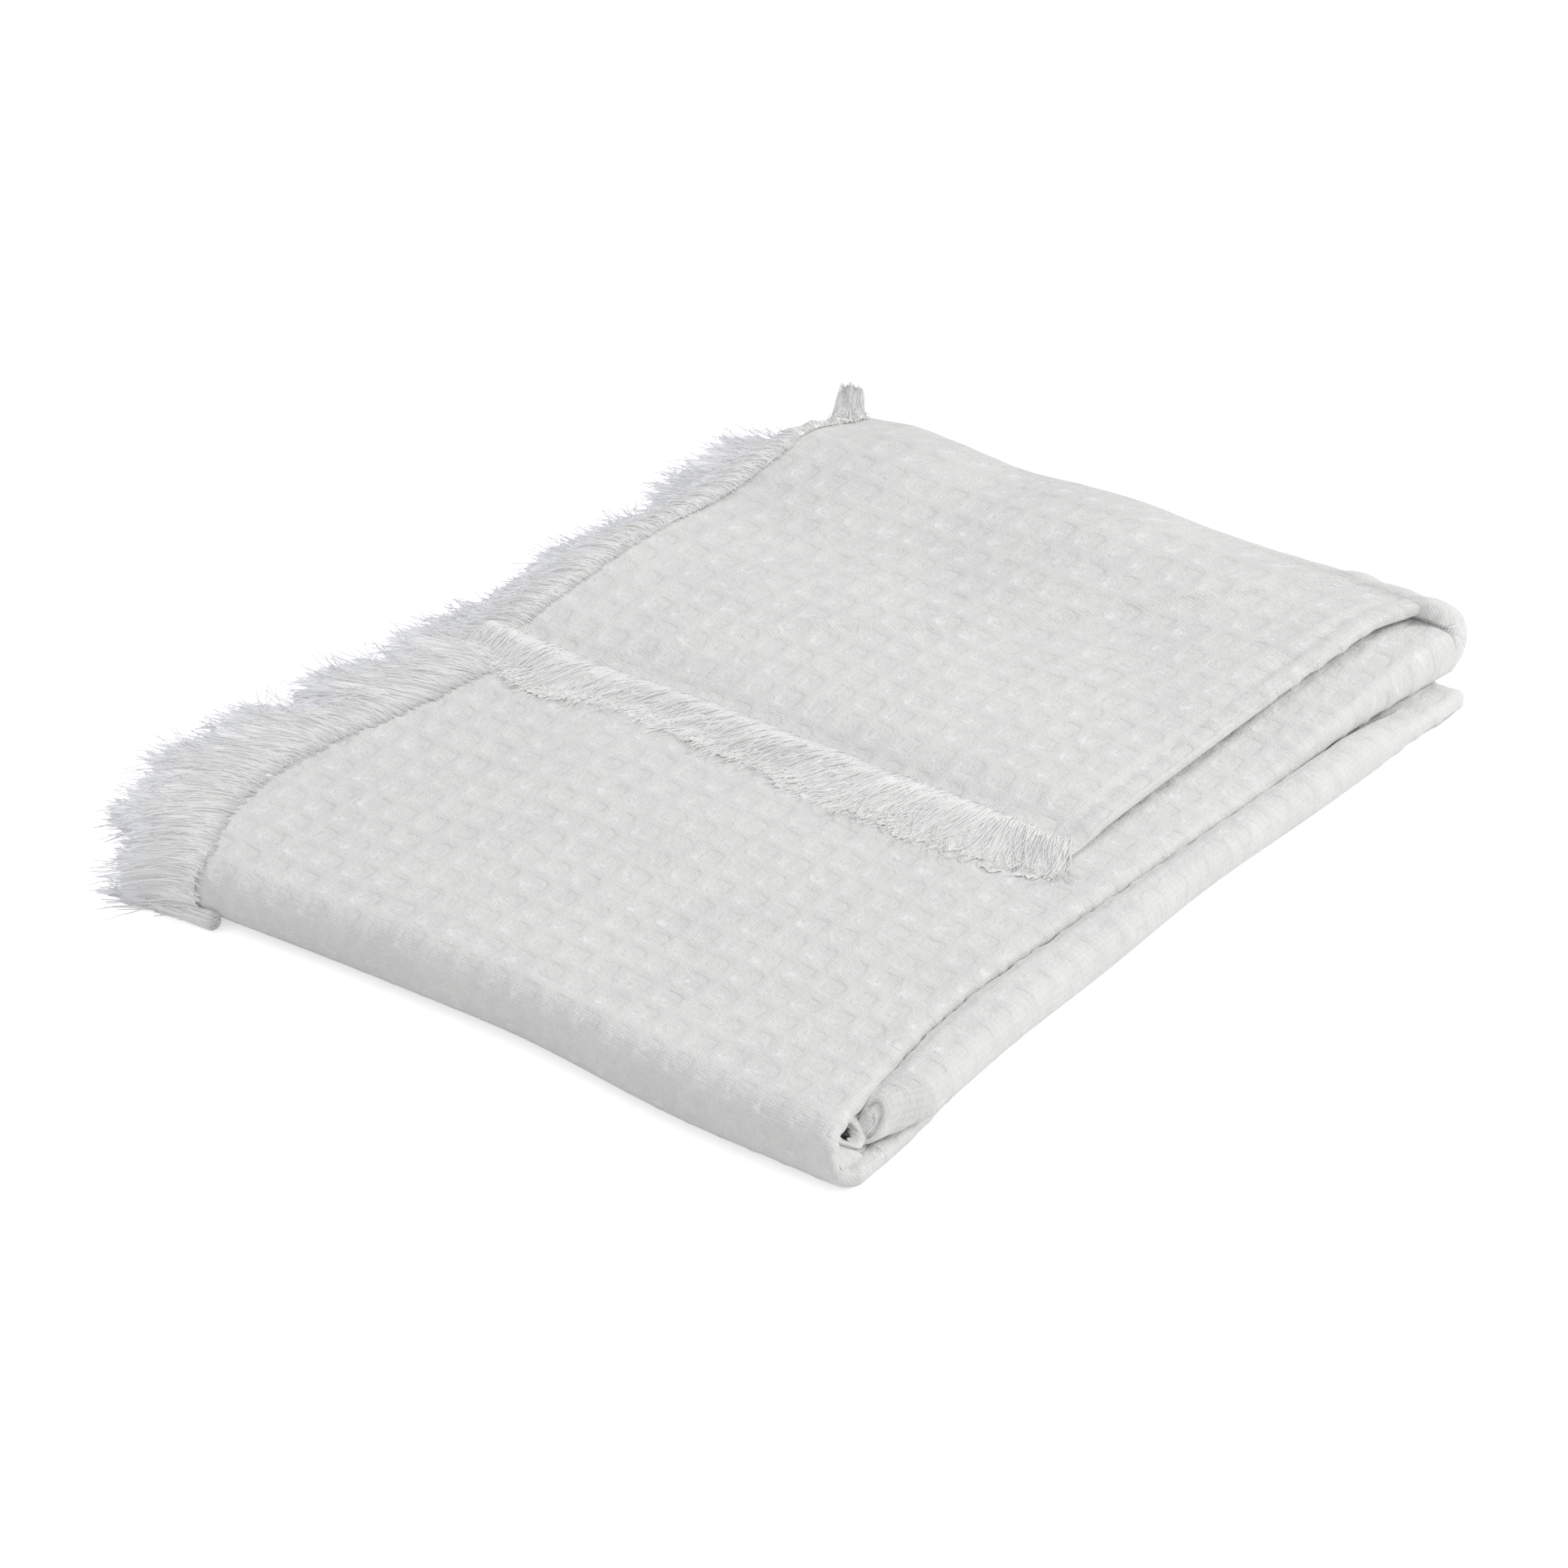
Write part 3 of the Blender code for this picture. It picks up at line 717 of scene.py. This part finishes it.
def flapSculpt(places, s, t, normals):
    x, y = places[..., 0] + footX, places[..., 1] + footY
    swell = 0.0006 * softNoise(x / 0.055, y / 0.070, 31)
    away = (y - np.interp(x, creaseX, creaseY)) * crease["lean"]
    flatPart = ease((normals[..., 2] - 0.6) / 0.3)
    ridge = crease["high"] * np.exp(-((away - crease["highAt"]) / crease["highWide"]) ** 2)
    ridge = ridge + crease["step"] * ease((away + crease["stepRun"] / 2) / crease["stepRun"])
    ridge = ridge - crease["deep"] * np.exp(-((away - crease["deepAt"]) / crease["deepWide"]) ** 2)
    return places + normals * ((swell + ridge - crease["step"]) * flatPart)[..., None]


flapUnder = ([(edgeOuterFlap, halfPack)] * 8 + flatRun(0.030, 0.325, halfPack, 0.0045)
             + flatRun(0.325, rollX, halfPack, fine))
flapRoll = turn(rollX, 0, rollLong, halfPack, quarter, -quarter, 22, 0.75)
flapUpper = [(x, -halfPack + grooveDeep * math.exp(-((x - grooveAt) / grooveWidth) ** 2))
             for x, _ in flatRun(rollX, edgeInner, -halfPack, fine) + [(edgeInner, -halfPack)]]


# The skin's underside sinks below the top panel's, in the part of the loop where both are
def flapSink(panel, f, column):
    if panel == "flap":
        return 0 * f * column
    under = sinkDeep * ease((0.54 - f) / 0.05) if panel == "loop" else sinkDeep + 0 * f
    return under * ease((len(flapUnder) + 14 - column) / 6)


flapFacts = {
    "name": "cloth_flap", "flat": (0.745, 0.335), "sculpt": flapSculpt, "mirror": -1,
    "rims": ["startS", "startT", "endT", "endS"], "stretch": 8, "line": flapUnder + flapRoll + flapUpper,
    "sink": flapSink, "along": [("top", 0.975, 1.0, fine), ("loop", 0, 1, fine), ("flap", 0, 1, fine)],
}
clothFlap = clothPiece(flapFacts)

# The layers between, which show only at the open edges and ends
turnX = edgeInner + turnIn
innerStep = 0.012
lastRun = flatRun(tuckX, edgeInner, -halfPack, innerStep)
innerLine = (flatRun(tuckX + 0.0005, turnX, layer / 2, innerStep)
             + turn(turnX, 0, layer / 2, layer / 2, quarter, 3 * quarter, 4)
             + flatRun(turnX, tuckX, -layer / 2, innerStep)
             + turn(tuckX, -layer, layer / 2, layer / 2, quarter, -quarter, 4)
             + lastRun + [(edgeInner, -halfPack)])
innerX, innerW = np.array(innerLine).T
innerS = 0.384 + measured(innerLine) - innerLine[0][0]
innerFacts = {
    "name": "cloth_inner", "flat": (1.040, 1.880), "thick": 0.0014,
    "along": [("inner", 0, 1, 0.009), ("back", 0, 1, 0.003), ("bottom", 0, 1, 0.009), ("front", 0, 1, 0.002),
              ("top", 0, 1, 0.009), ("loop", 0, 1, 0.004), ("flap", 0, 1, 0.009)],
}


# Faces of the last layer are left out in the loop and flap, where the flap's skin is
def innerPiece(facts, x, w, s):
    names, fractions, lengths = samples(facts["along"])
    places = np.zeros((len(names), len(x), 3))
    for panel in dict.fromkeys(names):
        chosen = np.where(names == panel)[0]
        f = fractions[chosen][:, None]
        size = (len(chosen), 1)
        places[chosen] = clothPlace(panel, f, np.tile(x, size), np.tile(w, size))
    sAll = np.tile(s, (len(names), 1))
    tAll = np.repeat(lengths[:, None], len(x), axis=1)
    mesh = gridMesh(facts["name"], places, sAll, tAll)
    last, across = len(x) - len(lastRun) - 6, len(x) - 1
    bare = np.isin(names, ["loop", "flap"])
    cut = [p.index for p in mesh.polygons if bare[p.index // across] and p.index % across > last]
    cutMesh(mesh, cut, "FACES")
    piece = addPiece(mesh, cotton, "bedspread")
    thick = piece.modifiers.new("thick", "SOLIDIFY")
    thick.thickness = facts["thick"]
    thick.offset = 0
    return piece


clothInner = innerPiece(innerFacts, innerX, innerW, innerS)


# Soft ends that close the rolls of the inner panel, with the edges of its layers, and of the flap
endForm = {"rows": 30, "out": 0.0016, "in": 0.0046, "rim": 0.0060, "wave": 0.0003, "grooveWide": 0.00032,
           "grooveDeep": 0.0011}


def endPiece(facts):
    share = np.linspace(0, 1, endForm["rows"])
    x, share = np.meshgrid(np.linspace(*facts["across"], facts["count"]), share, indexing="ij")
    top, bottom = facts["top"](x), facts["bottom"](x)
    w = bottom + (top - bottom) * share
    places = clothPlace(facts["panel"], np.full(x.shape, facts["f"]), x, w)
    distance = np.hypot(x - rollX, w - facts["middle"])
    rim = np.minimum(np.minimum(top - w, w - bottom), facts["across"][1] - x)
    places[..., 1] += endForm["out"] - endForm["in"] * ease(rim / endForm["rim"])
    turned = np.arctan2(w - facts["middle"], x - rollX)
    for radius in facts["layers"]:
        away = distance - radius - endForm["wave"] * np.sin(turned * 3)
        groove = np.exp(-(away / endForm["grooveWide"]) ** 2)
        places[..., 1] += endForm["grooveDeep"] * groove * ease((1.25 - np.abs(turned - 0.1)) / 0.35)
    addPiece(gridMesh(facts["name"], places, x, w), cotton, "bedspread")


def plumpHalf(x):
    return np.sqrt(np.maximum(plumpRadius ** 2 - np.maximum(x - rollX, 0) ** 2, 0))


def plumpTop(x):
    return np.where(x > rollX, plumpLift + plumpHalf(x), besideTop(x, 0.0))


def plumpBottom(x):
    return np.where(x > rollX, plumpLift - plumpHalf(x), -halfPack + 0 * x)


def rollHalf(x):
    return halfPack * np.sqrt(np.maximum(1 - (np.maximum(x - rollX, 0) / rollLong) ** 2, 0))


shy = 0.0001  # how far the ends stop short of the rolls' outer lines
endPiece({"name": "end_inner", "panel": "inner", "f": 0.0, "across": (0.300, rollX + plumpRadius - shy),
          "count": 120, "top": plumpTop, "bottom": plumpBottom, "middle": plumpLift,
          "layers": (0.0044, 0.0066)})
endPiece({"name": "end_flap", "panel": "flap", "f": 0.994, "across": (0.320, rollX + rollLong - shy),
          "count": 60, "top": rollHalf, "bottom": lambda x: -rollHalf(x), "middle": 0.0, "layers": ()})


# The pocket inside the front fold at the right: its layers close it but for a small dark hole, over a crease
pocketFacts = {"low": 0.0065, "high": 0.0160, "foldRound": 0.0062, "intoFold": 0.0040, "back": 0.040,
               "x": 0.3530, "leanFrom": 0.0094, "leanHigh": 0.0124, "lean": 0.0075, "belly": 0.0040,
               "turnIn": 0.010, "lip": 0.0045, "creaseDeep": 0.0040, "creaseWide": 0.0009,
               "creaseZ": 0.0112, "creaseRise": 0.60, "creaseY": 0.024, "holeY": 0.0215, "holeZ": 0.0195,
               "holeLong": 0.0042, "holeHigh": 0.0036, "holeDeep": 0.010, "holeEdge": 0.6}


def pocketPiece(facts):
    share, level = np.meshgrid(np.linspace(0, 1, 80), np.linspace(0, 1, 60), indexing="ij")
    z = facts["low"] + facts["high"] * level
    rounded = facts["foldRound"] ** 2 - np.clip(z - innerLevel, -facts["foldRound"], facts["foldRound"]) ** 2
    front = frontCentre - np.sqrt(rounded) - facts["intoFold"]
    y = front + (facts["back"] - front) * share
    aside = np.clip((z - facts["leanFrom"]) / facts["leanHigh"], 0, 1)
    x = facts["x"] - facts["lean"] * aside + facts["belly"] * np.sin(aside * math.pi)
    x = x - facts["turnIn"] * ease((y - 0.028) / 0.012)
    x = x + facts["lip"] * ease((0.0200 - z) / 0.008) * ease((0.026 - y) / 0.008)
    creaseLine = facts["creaseZ"] + facts["creaseRise"] * np.maximum(facts["creaseY"] - y, 0)
    groove = np.exp(-((z - creaseLine) / facts["creaseWide"]) ** 2) * ease((y - 0.010) / 0.004)
    x = x - facts["creaseDeep"] * groove
    awayY, awayZ = (y - facts["holeY"]) / facts["holeLong"], (z - facts["holeZ"]) / facts["holeHigh"]
    hole = np.exp(-(awayY ** 2 + awayZ ** 2) ** 3)
    mesh = gridMesh("end_pocket", settle(x - facts["holeDeep"] * hole, y, z), y, z)
    cutMesh(mesh, np.where(hole.reshape(-1) > facts["holeEdge"])[0], "VERTS")
    addPiece(mesh, cotton, "bedspread")


pocketPiece(pocketFacts)


# Fringe: each row is a bed of yarn with a ragged end, and fine loose yarns over it, all on one surface
yarnRadius = 0.00036


def yarnMesh(name, centres, tips):
    count, points = centres.shape[:2]
    ahead = unit(np.gradient(centres, axis=1))
    sideways = unit(np.cross(ahead, np.array([0.0, 0.0, 1.0])))
    upward = np.cross(sideways, ahead)
    taper = yarnRadius * (1 - 0.45 * np.linspace(0, 1, points) ** 3)[None, :, None]
    rings = []
    for angle in (quarter, quarter + 2 * math.pi / 3, quarter + 4 * math.pi / 3):
        rings.append(centres + taper * (math.cos(angle) * sideways + math.sin(angle) * upward))
    places = np.stack(rings, axis=2)
    places[..., 2] = np.maximum(places[..., 2], 0.0)
    index = np.arange(count * points * 3).reshape(count, points, 3)
    quads = []
    for a, b in ((0, 1), (1, 2), (2, 0)):
        corners = [index[:, :-1, a], index[:, 1:, a], index[:, 1:, b], index[:, :-1, b]]
        quads.append(np.stack(corners, axis=-1).reshape(-1))
    quads = np.concatenate(quads)
    ends = np.concatenate([index[:, -1, :], index[:, 0, ::-1]]).reshape(-1)
    loops = np.concatenate([quads, ends])
    starts = np.concatenate([np.arange(0, quads.size, 4), quads.size + np.arange(0, ends.size, 3)])
    mesh = arrayMesh(name, places, loops, starts)
    along = np.linspace(0, 0.05, points)[None, :, None] + np.zeros((count, points, 3))
    around = np.arange(count)[:, None, None] * 0.01 + np.zeros((count, points, 3)) + np.arange(3) * 0.001
    addUv(mesh, "flat", along, around, loops)
    addTips(mesh, np.repeat(tips[:, :, None], 3, axis=2))
    return mesh


# Place along the cloth's edge for roots, a little inside the edge and on the cloth's face
def edgeLine(parts, edge, height, inside):
    names, fractions, _ = samples(parts)
    places = []
    for panel in dict.fromkeys(names):
        f = fractions[names == panel]
        x = outerEdge(panel, f) if edge == "outer" else edgeInner + 0 * f
        places.append(clothPlace(panel, f, x + inside, height + 0 * f))
    return np.concatenate(places)


def alongLine(line, at):
    lengths = np.concatenate([[0], np.cumsum(np.linalg.norm(np.diff(line, axis=0), axis=1))])
    places = [np.interp(at * lengths[-1], lengths, line[:, k]) for k in range(3)]
    return np.stack(places, axis=-1), lengths[-1]


def topSurface(places):
    x, y = places[..., 0] + footX, places[..., 1] + footY
    return settle(x, y, topHeight(x, y) + halfPack * swelling(x, y) + sheet / 2)[..., 2]


# The row's surface: at is the place along the row from 0 to 1, u the place along the yarn.
# Along the row the yarns' reach (tufts and waves), direction and fall change over these lengths.
noiseLong = (0.012, 0.037, 0.016, 0.015)
bunchLong = 0.0125


def rowSurface(row, at, u, reachBy=1.0, turnBy=0.0, lift=0.0):
    root, rowLong = alongLine(row["line"], at)
    seed, step = row["seed"], at * rowLong
    noises = [softNoise(step / long, step * 0 + seed, seed + i) for i, long in enumerate(noiseLong)]
    tufts, waves = noises[0] * row.get("tuft", 0.10), noises[1] * row.get("wave", 0.07)
    angle = row["sweep"](at) + 0.20 * noises[2] + turnBy
    reach = row["long"](at, root[..., 1] + footY) * (1 + tufts + waves) * reachBy * u
    out, aside = row["outward"], (-row["outward"][1], row["outward"][0])
    direction = [out[k] * np.cos(angle) + aside[k] * np.sin(angle) for k in (0, 1)]
    sway = 0.0020 * np.sin(step / bunchLong * 2 * math.pi + seed) * u ** 1.5
    x = root[..., 0] + direction[0] * reach - direction[1] * sway
    y = root[..., 1] + direction[1] * reach + direction[0] * sway
    corner = 1 + row.get("hang", 0) * (1 - ease(at / 0.14))
    down = row["drop"] * corner * ease((u - 0.05) / row.get("drape", 0.9))
    down = down * (1 + 0.25 * noises[3])
    hump = row.get("hump", 0.0008) * np.sin(np.clip(u * 1.3, 0, 1) * math.pi)
    hump = hump * (1 + np.sin(step / bunchLong * 2 * math.pi))
    places = np.stack([x, y, root[..., 2] - down + hump + lift], axis=-1)
    ground = topSurface(places) if row.get("onTop") else 0 * x
    places[..., 2] = np.maximum(places[..., 2], ground + 0.0004 + lift * 0.7)
    return places


bedPoints, bedLow, bedSunk = 13, 0.0005, 0.0009


def bedMesh(name, rows):
    verts, loops, along, across, tips = [], [], [], [], []
    first = 0
    for row in rows:
        count, points = row["beds"], bedPoints
        at = np.linspace(0, 1, count)[:, None] + np.zeros((1, points))
        ragged = 0.84 + 0.14 * hashed(np.arange(count), 0.0, row["seed"])[:, None]
        u = np.linspace(0, 1, points)[None, :] ** 1.4 + np.zeros((count, 1))
        places = rowSurface(row, at, u * ragged)
        flutter = 0.0006 * (hashed(np.arange(count), 1.0, row["seed"])[:, None] - 0.5) * u
        root, rowLong = alongLine(row["line"], at)
        reach = row["long"](at, root[..., 1] + footY) * u * ragged
        uneven = 0.0010 + 0.0020 * softNoise(at * rowLong / 0.006, at * 0, row["seed"])
        sunk = bedSunk * (1 - ease((reach + uneven) / 0.0045))
        low = places[..., 2] - bedLow - sunk * row["inside"] + flutter
        places[..., 2] = np.maximum(low, 0.0002)
        index = first + np.arange(count * points).reshape(count, points)
        verts.append(places.reshape(-1, 3))
        quads = np.stack([index[:-1, :-1], index[1:, :-1], index[1:, 1:], index[:-1, 1:]], axis=-1)
        loops.append(quads.reshape(-1))
        along.append((u * 0.05).reshape(-1))
        across.append((at * rowLong).reshape(-1))
        tips.append((u * ragged * row.get("tipTint", 1.0)).reshape(-1))
        first += count * points
    verts, loops, along, across, tips = [np.concatenate(a) for a in (verts, loops, along, across, tips)]
    mesh = arrayMesh(name, verts, loops, np.arange(0, loops.size, 4))
    addUv(mesh, "flat", along, across, loops)
    addTips(mesh, tips)
    return mesh


rng = np.random.default_rng(11)


def looseYarns(row):
    count, points = row["count"], row.get("points", 8)
    at = np.clip((np.arange(count) + rng.uniform(-0.4, 0.4, count)) / (count - 1), 0, 1)[:, None]
    u = np.linspace(0, 1, points)[None, :] + np.zeros((count, 1))
    reachBy = 1 - 0.30 * rng.uniform(0, 1, (count, 1)) ** 2
    turnBy = rng.normal(0, 0.09, (count, 1)) + rng.normal(0, 0.22, (count, 1)) * u ** 2
    lift = rng.uniform(0.0, row.get("loose", 0.0011), (count, 1)) * np.minimum(u * 3 + 0.2, 1)
    centres = rowSurface(row, at + 0 * u, u, reachBy, turnBy, lift)
    scatter = row.get("scatter", 0.0015) * rng.uniform(-1, 1, (count, 1))
    centres[..., 0] += scatter * row["outward"][0]
    centres[..., 1] += scatter * row["outward"][1]
    start, turns = rng.uniform(0, 6.28, (count, 1)), rng.uniform(5, 13, (count, 1))
    curl = 0.0006 * np.sin(start + u * turns) * np.minimum(u * 4, 1)
    centres[..., 0] += curl * abs(row["outward"][1])
    centres[..., 1] += curl * abs(row["outward"][0])
    centres[:, 0, 2] -= 0.0008
    return centres, u * row.get("tipTint", 1.0)


# Both pieces of a fringe are named for the node that they replace
def fringePieces(node, rows, extras=()):
    yarns = [looseYarns(row) for row in rows] + list(extras)
    centres, tips = [np.concatenate([pair[k] for pair in yarns]) for k in (0, 1)]
    return [addPiece(yarnMesh(node + "_yarns", centres, tips), yarn, node),
            addPiece(bedMesh(node + "_bed", rows), mat, node)]


# Loose bunch of yarns: a tuft that stands off, or the end of a hidden row that shows on the floor
def bunch(facts):
    count, points = facts["count"], facts["points"]
    u = np.linspace(0, 1, points)[None, :] + np.zeros((count, 1))
    angle, radius = rng.uniform(0, 6.28, (count, 1)), rng.uniform(0, 1, (count, 1)) ** 0.5
    along, spread = np.array(facts["way"]), facts["wide"] * radius * (1 + facts["fan"] * u ** 0.4)
    sideways = np.array([-along[1], along[0], 0.0]) / math.hypot(along[0], along[1])
    base = np.array(facts["root"]) - np.array([footX, footY, 0.0])
    reach = 1 - 0.40 * rng.uniform(0, 1, (count, 1)) ** 1.5 - facts["dome"] * radius ** 2
    reach = reach + 0.10 * radius * np.sin(angle * 5)
    begin = facts["wide"] / np.linalg.norm(along) * (1 - np.sqrt(1 - radius ** 2)) * 0.8
    centres = base + (begin + u * (reach - begin))[..., None] * along
    centres = centres + (spread * np.cos(angle))[..., None] * sideways
    centres[..., 2] += spread * np.sin(angle) * facts["flat"]
    centres[..., 1] += 0.0012 * np.sin(angle * 3 + u * 7) * u
    centres[..., 2] = np.maximum(centres[..., 2], 0.0004)
    return centres, 0 * u + facts["shade"]


# A row that starts further inside the edge than this rises out of the cloth
insideFrom = 0.003
toLeft, toFront = (-1.0, 0.0), (0.0, -1.0)


def fringeRow(line, outward, sweep, long, drop, seed, beds, count, inside, **others):
    return {"line": line, "outward": outward, "sweep": sweep, "long": long, "drop": drop, "seed": seed,
            "beds": beds, "count": count, "inside": int(inside > insideFrom), **others}


# Rows of the top panel's open edge
def topSweep(at):
    return 0.06 + 0.34 * np.exp(-((at - 0.16) / 0.11) ** 2)


def topLong(at, y):
    return 0.053 + 0.011 * ease((y - 0.02) / 0.06)


topParts = [("front", 0.22, 1, 0.002), ("top", 0, 0.985, 0.004)]


def topRow(above, inside, cut, drop, hang, seed, beds, count):
    line = edgeLine(topParts, "outer", halfPack + above, inside)
    return fringeRow(line, toLeft, topSweep, lambda at, y: topLong(at, y) - cut, drop, seed, beds, count,
                     inside, hang=hang, loose=0.0009, tuft=0.15, wave=0.10, scatter=inside * 0.9)


fringeTop = fringePieces("fringe_top", [topRow(*facts) for facts in (
    (0.0021, 0.0050, 0.000, 0.0045, 0.8, 41.0, 560, 1300),
    (-0.0006, 0.0010, 0.004, 0.0080, 1.0, 47.0, 400, 420),
    (-0.0012, 0.0010, 0.006, 0.0125, 1.0, 53.0, 400, 260))])


# Rows of layers that are mostly hidden: simple, with fewer points
def hiddenRow(parts, edge, height, drop, long, seed, sweep):
    inside = 0.001
    return fringeRow(edgeLine(parts, edge, height, inside), toLeft, lambda at: sweep + 0 * at,
                     lambda at, y: long + 0 * at, drop, seed, 300, 300, inside, points=6)


middleParts = [("inner", 0.02, 0.98, 0.004)]
fringeMiddle = fringePieces("fringe_middle", [hiddenRow(*facts, 0.16) for facts in (
    (middleParts, "outer", halfPack, 0.0080, 0.045, 61.0),
    ([("top", 0.0, 0.98, 0.004)], "inner", -halfPack, 0.0080, 0.052, 67.0),
    (middleParts, "inner", -halfPack, 0.0060, 0.050, 71.0))])

# Rows on the floor, with the rolled end of a hidden row at the near corner
bottomParts, foldPart = ("bottom", 0.02, 1.0, 0.004), ("front", 0.0, 0.5, 0.003)
floorRoll = bunch({"root": (0.0, 0.0035, 0.0046), "way": (-0.047, -0.004, -0.0006), "wide": 0.0046,
                   "flat": 0.95, "fan": -0.1, "dome": 0.30, "count": 340, "points": 6, "shade": 0.2})
fringeUnder = fringePieces("fringe_under", [hiddenRow(*facts, -0.10) for facts in (
    ([bottomParts, foldPart], "outer", halfPack, 0.0030, 0.040, 73.0),
    ([bottomParts], "inner", -halfPack, 0.0075, 0.053, 79.0))], [floorRoll])

# Rows of the flap's left side, with the tuft that stands up at the far corner
flapParts = [("loop", 0.94, 1, 0.002), ("flap", 0, 0.995, 0.004)]


def flapSideLong(at):
    return 0.004 + 0.021 * ease(at / 0.28) + 0.006 * ease((at - 0.5) / 0.3)


def flapSideRow(edge, height, inside, cut, drop, seed, count):
    return fringeRow(edgeLine(flapParts, edge, height, inside), toLeft, lambda at: 0.05 + 0 * at,
                     lambda at, y: flapSideLong(at) - cut, drop, seed, 260, count, inside, tuft=0.16,
                     scatter=inside / 2)


loopTuft = bunch({"root": (-0.008, 0.511, 0.0430), "way": (-0.008, 0.013, 0.0245), "wide": 0.0130,
                  "flat": 0.5, "fan": -0.50, "dome": 0.12, "count": 620, "points": 8, "shade": 0.6})
fringeFlapSide = fringePieces("fringe_flap_side", [flapSideRow(*facts) for facts in (
    ("inner", -halfPack - 0.0021, 0.0050, 0.000, 0.0050, 83.0, 620),
    ("inner", -halfPack, 0.0010, 0.004, 0.0075, 89.0, 260),
    ("outer", halfPack, 0.0010, 0.002, 0.0010, 97.0, 260))], [loopTuft])


# Rows of the flap's free end, swept to the left in the middle. The upper row follows the flap's lowered part.
def frontLine(height, first, last, inside):
    x = np.linspace(first, last, 120)
    lower = 0.0011 * ease((x - 0.055) / 0.040) * (1.0 if inside > 0 else 0.0)
    line = clothPlace("flap", np.full(120, 0.994), x, (height + lower) / flapShare(flapEnd))
    line[:, 1] += inside
    return line


def frontLong(at):
    reach = 0.019 + 0.011 * ease(at / 0.25) + 0.004 * ease((at - 0.45) / 0.25)
    return reach - 0.011 * ease((at - 0.84) / 0.16)


def frontSweep(at):
    return 0.7 * ease((at - 0.8) / 0.2) - 0.20 - 0.62 * np.sin(math.pi * np.clip(at * 1.12, 0, 1))


def frontRow(height, first, last, inside, extra, drop, seed, beds, count):
    return fringeRow(frontLine(height, first, last, inside), toFront, frontSweep,
                     lambda at, y: frontLong(at) + extra, drop, seed, beds, count, inside, onTop=True,
                     tuft=0.15, wave=0.16, hump=0.0004, drape=0.85, scatter=inside / 3, tipTint=0.45)


halfway = halfPack * 0.5
fringeFlapFront = fringePieces("fringe_flap_front", [frontRow(*facts) for facts in (
    (-halfway - 0.0021, edgeInner - 0.010, rollX + 0.002, 0.0060, 0.009, 0.0062, 101.0, 320, 1100),
    (-layer / 4, edgeInner, rollX + 0.003, 0.0, 0.003, 0.0040, 103.0, 300, 320),
    (halfway, edgeOuterFlap - 0.006, rollX + 0.003, 0.0, 0.001, 0.0015, 107.0, 300, 320))])

# Pale floor and soft studio light
floorHalf, floorLevel = 30, -0.0004


def makeStage():
    mesh = bpy.data.meshes.new("floor")
    corners = [(a * floorHalf, b * floorHalf, floorLevel) for a, b in ((-1, -1), (1, -1), (1, 1), (-1, 1))]
    mesh.from_pydata(corners, [], [(0, 1, 2, 3)])
    floor, material = linked("floor", mesh), newMaterial("pale_floor")
    shader = fill(material.node_tree.nodes["Principled BSDF"], {
        "Base Color": (0.93, 0.93, 0.93, 1), "Roughness": 0.9, "Specular IOR Level": 0.1,
        "Emission Color": (1, 1, 1, 1)})
    seen = material.node_tree.nodes.new("ShaderNodeLightPath")
    glow = addMath(material.node_tree, "MULTIPLY", seen.outputs["Is Camera Ray"], 0.55)
    material.node_tree.links.new(glow, shader.inputs["Emission Strength"])
    floor.data.materials.append(material)
    world = bpy.data.worlds.new("studio")
    world.use_nodes = True
    fill(world.node_tree.nodes["Background"], {"Color": (1.0, 1.0, 1.0, 1), "Strength": 0.62})
    bpy.context.scene.world = world


def areaLight(name, place, target, size, energy, colour):
    data = bpy.data.lights.new(name, "AREA")
    data.shape = "DISK"
    data.size = size
    data.energy = energy
    data.color = colour
    light = linked(name, data)
    light.location = place
    away = np.array(place) - np.array(target)
    light.rotation_euler = (math.atan2(math.hypot(away[0], away[1]), away[2]), 0,
                            math.atan2(away[1], away[0]) + quarter)


makeStage()
areaLight("soft_key", (2.2, 1.6, 1.9), (0, 0, 0), 1.6, 42, (1.0, 0.995, 0.985))
areaLight("soft_top", (-0.6, 0.2, 3.0), (0, 0, 0), 2.4, 12, (0.98, 0.99, 1.0))
bpy.context.scene.view_settings.view_transform = "Standard"
print("stage ready")
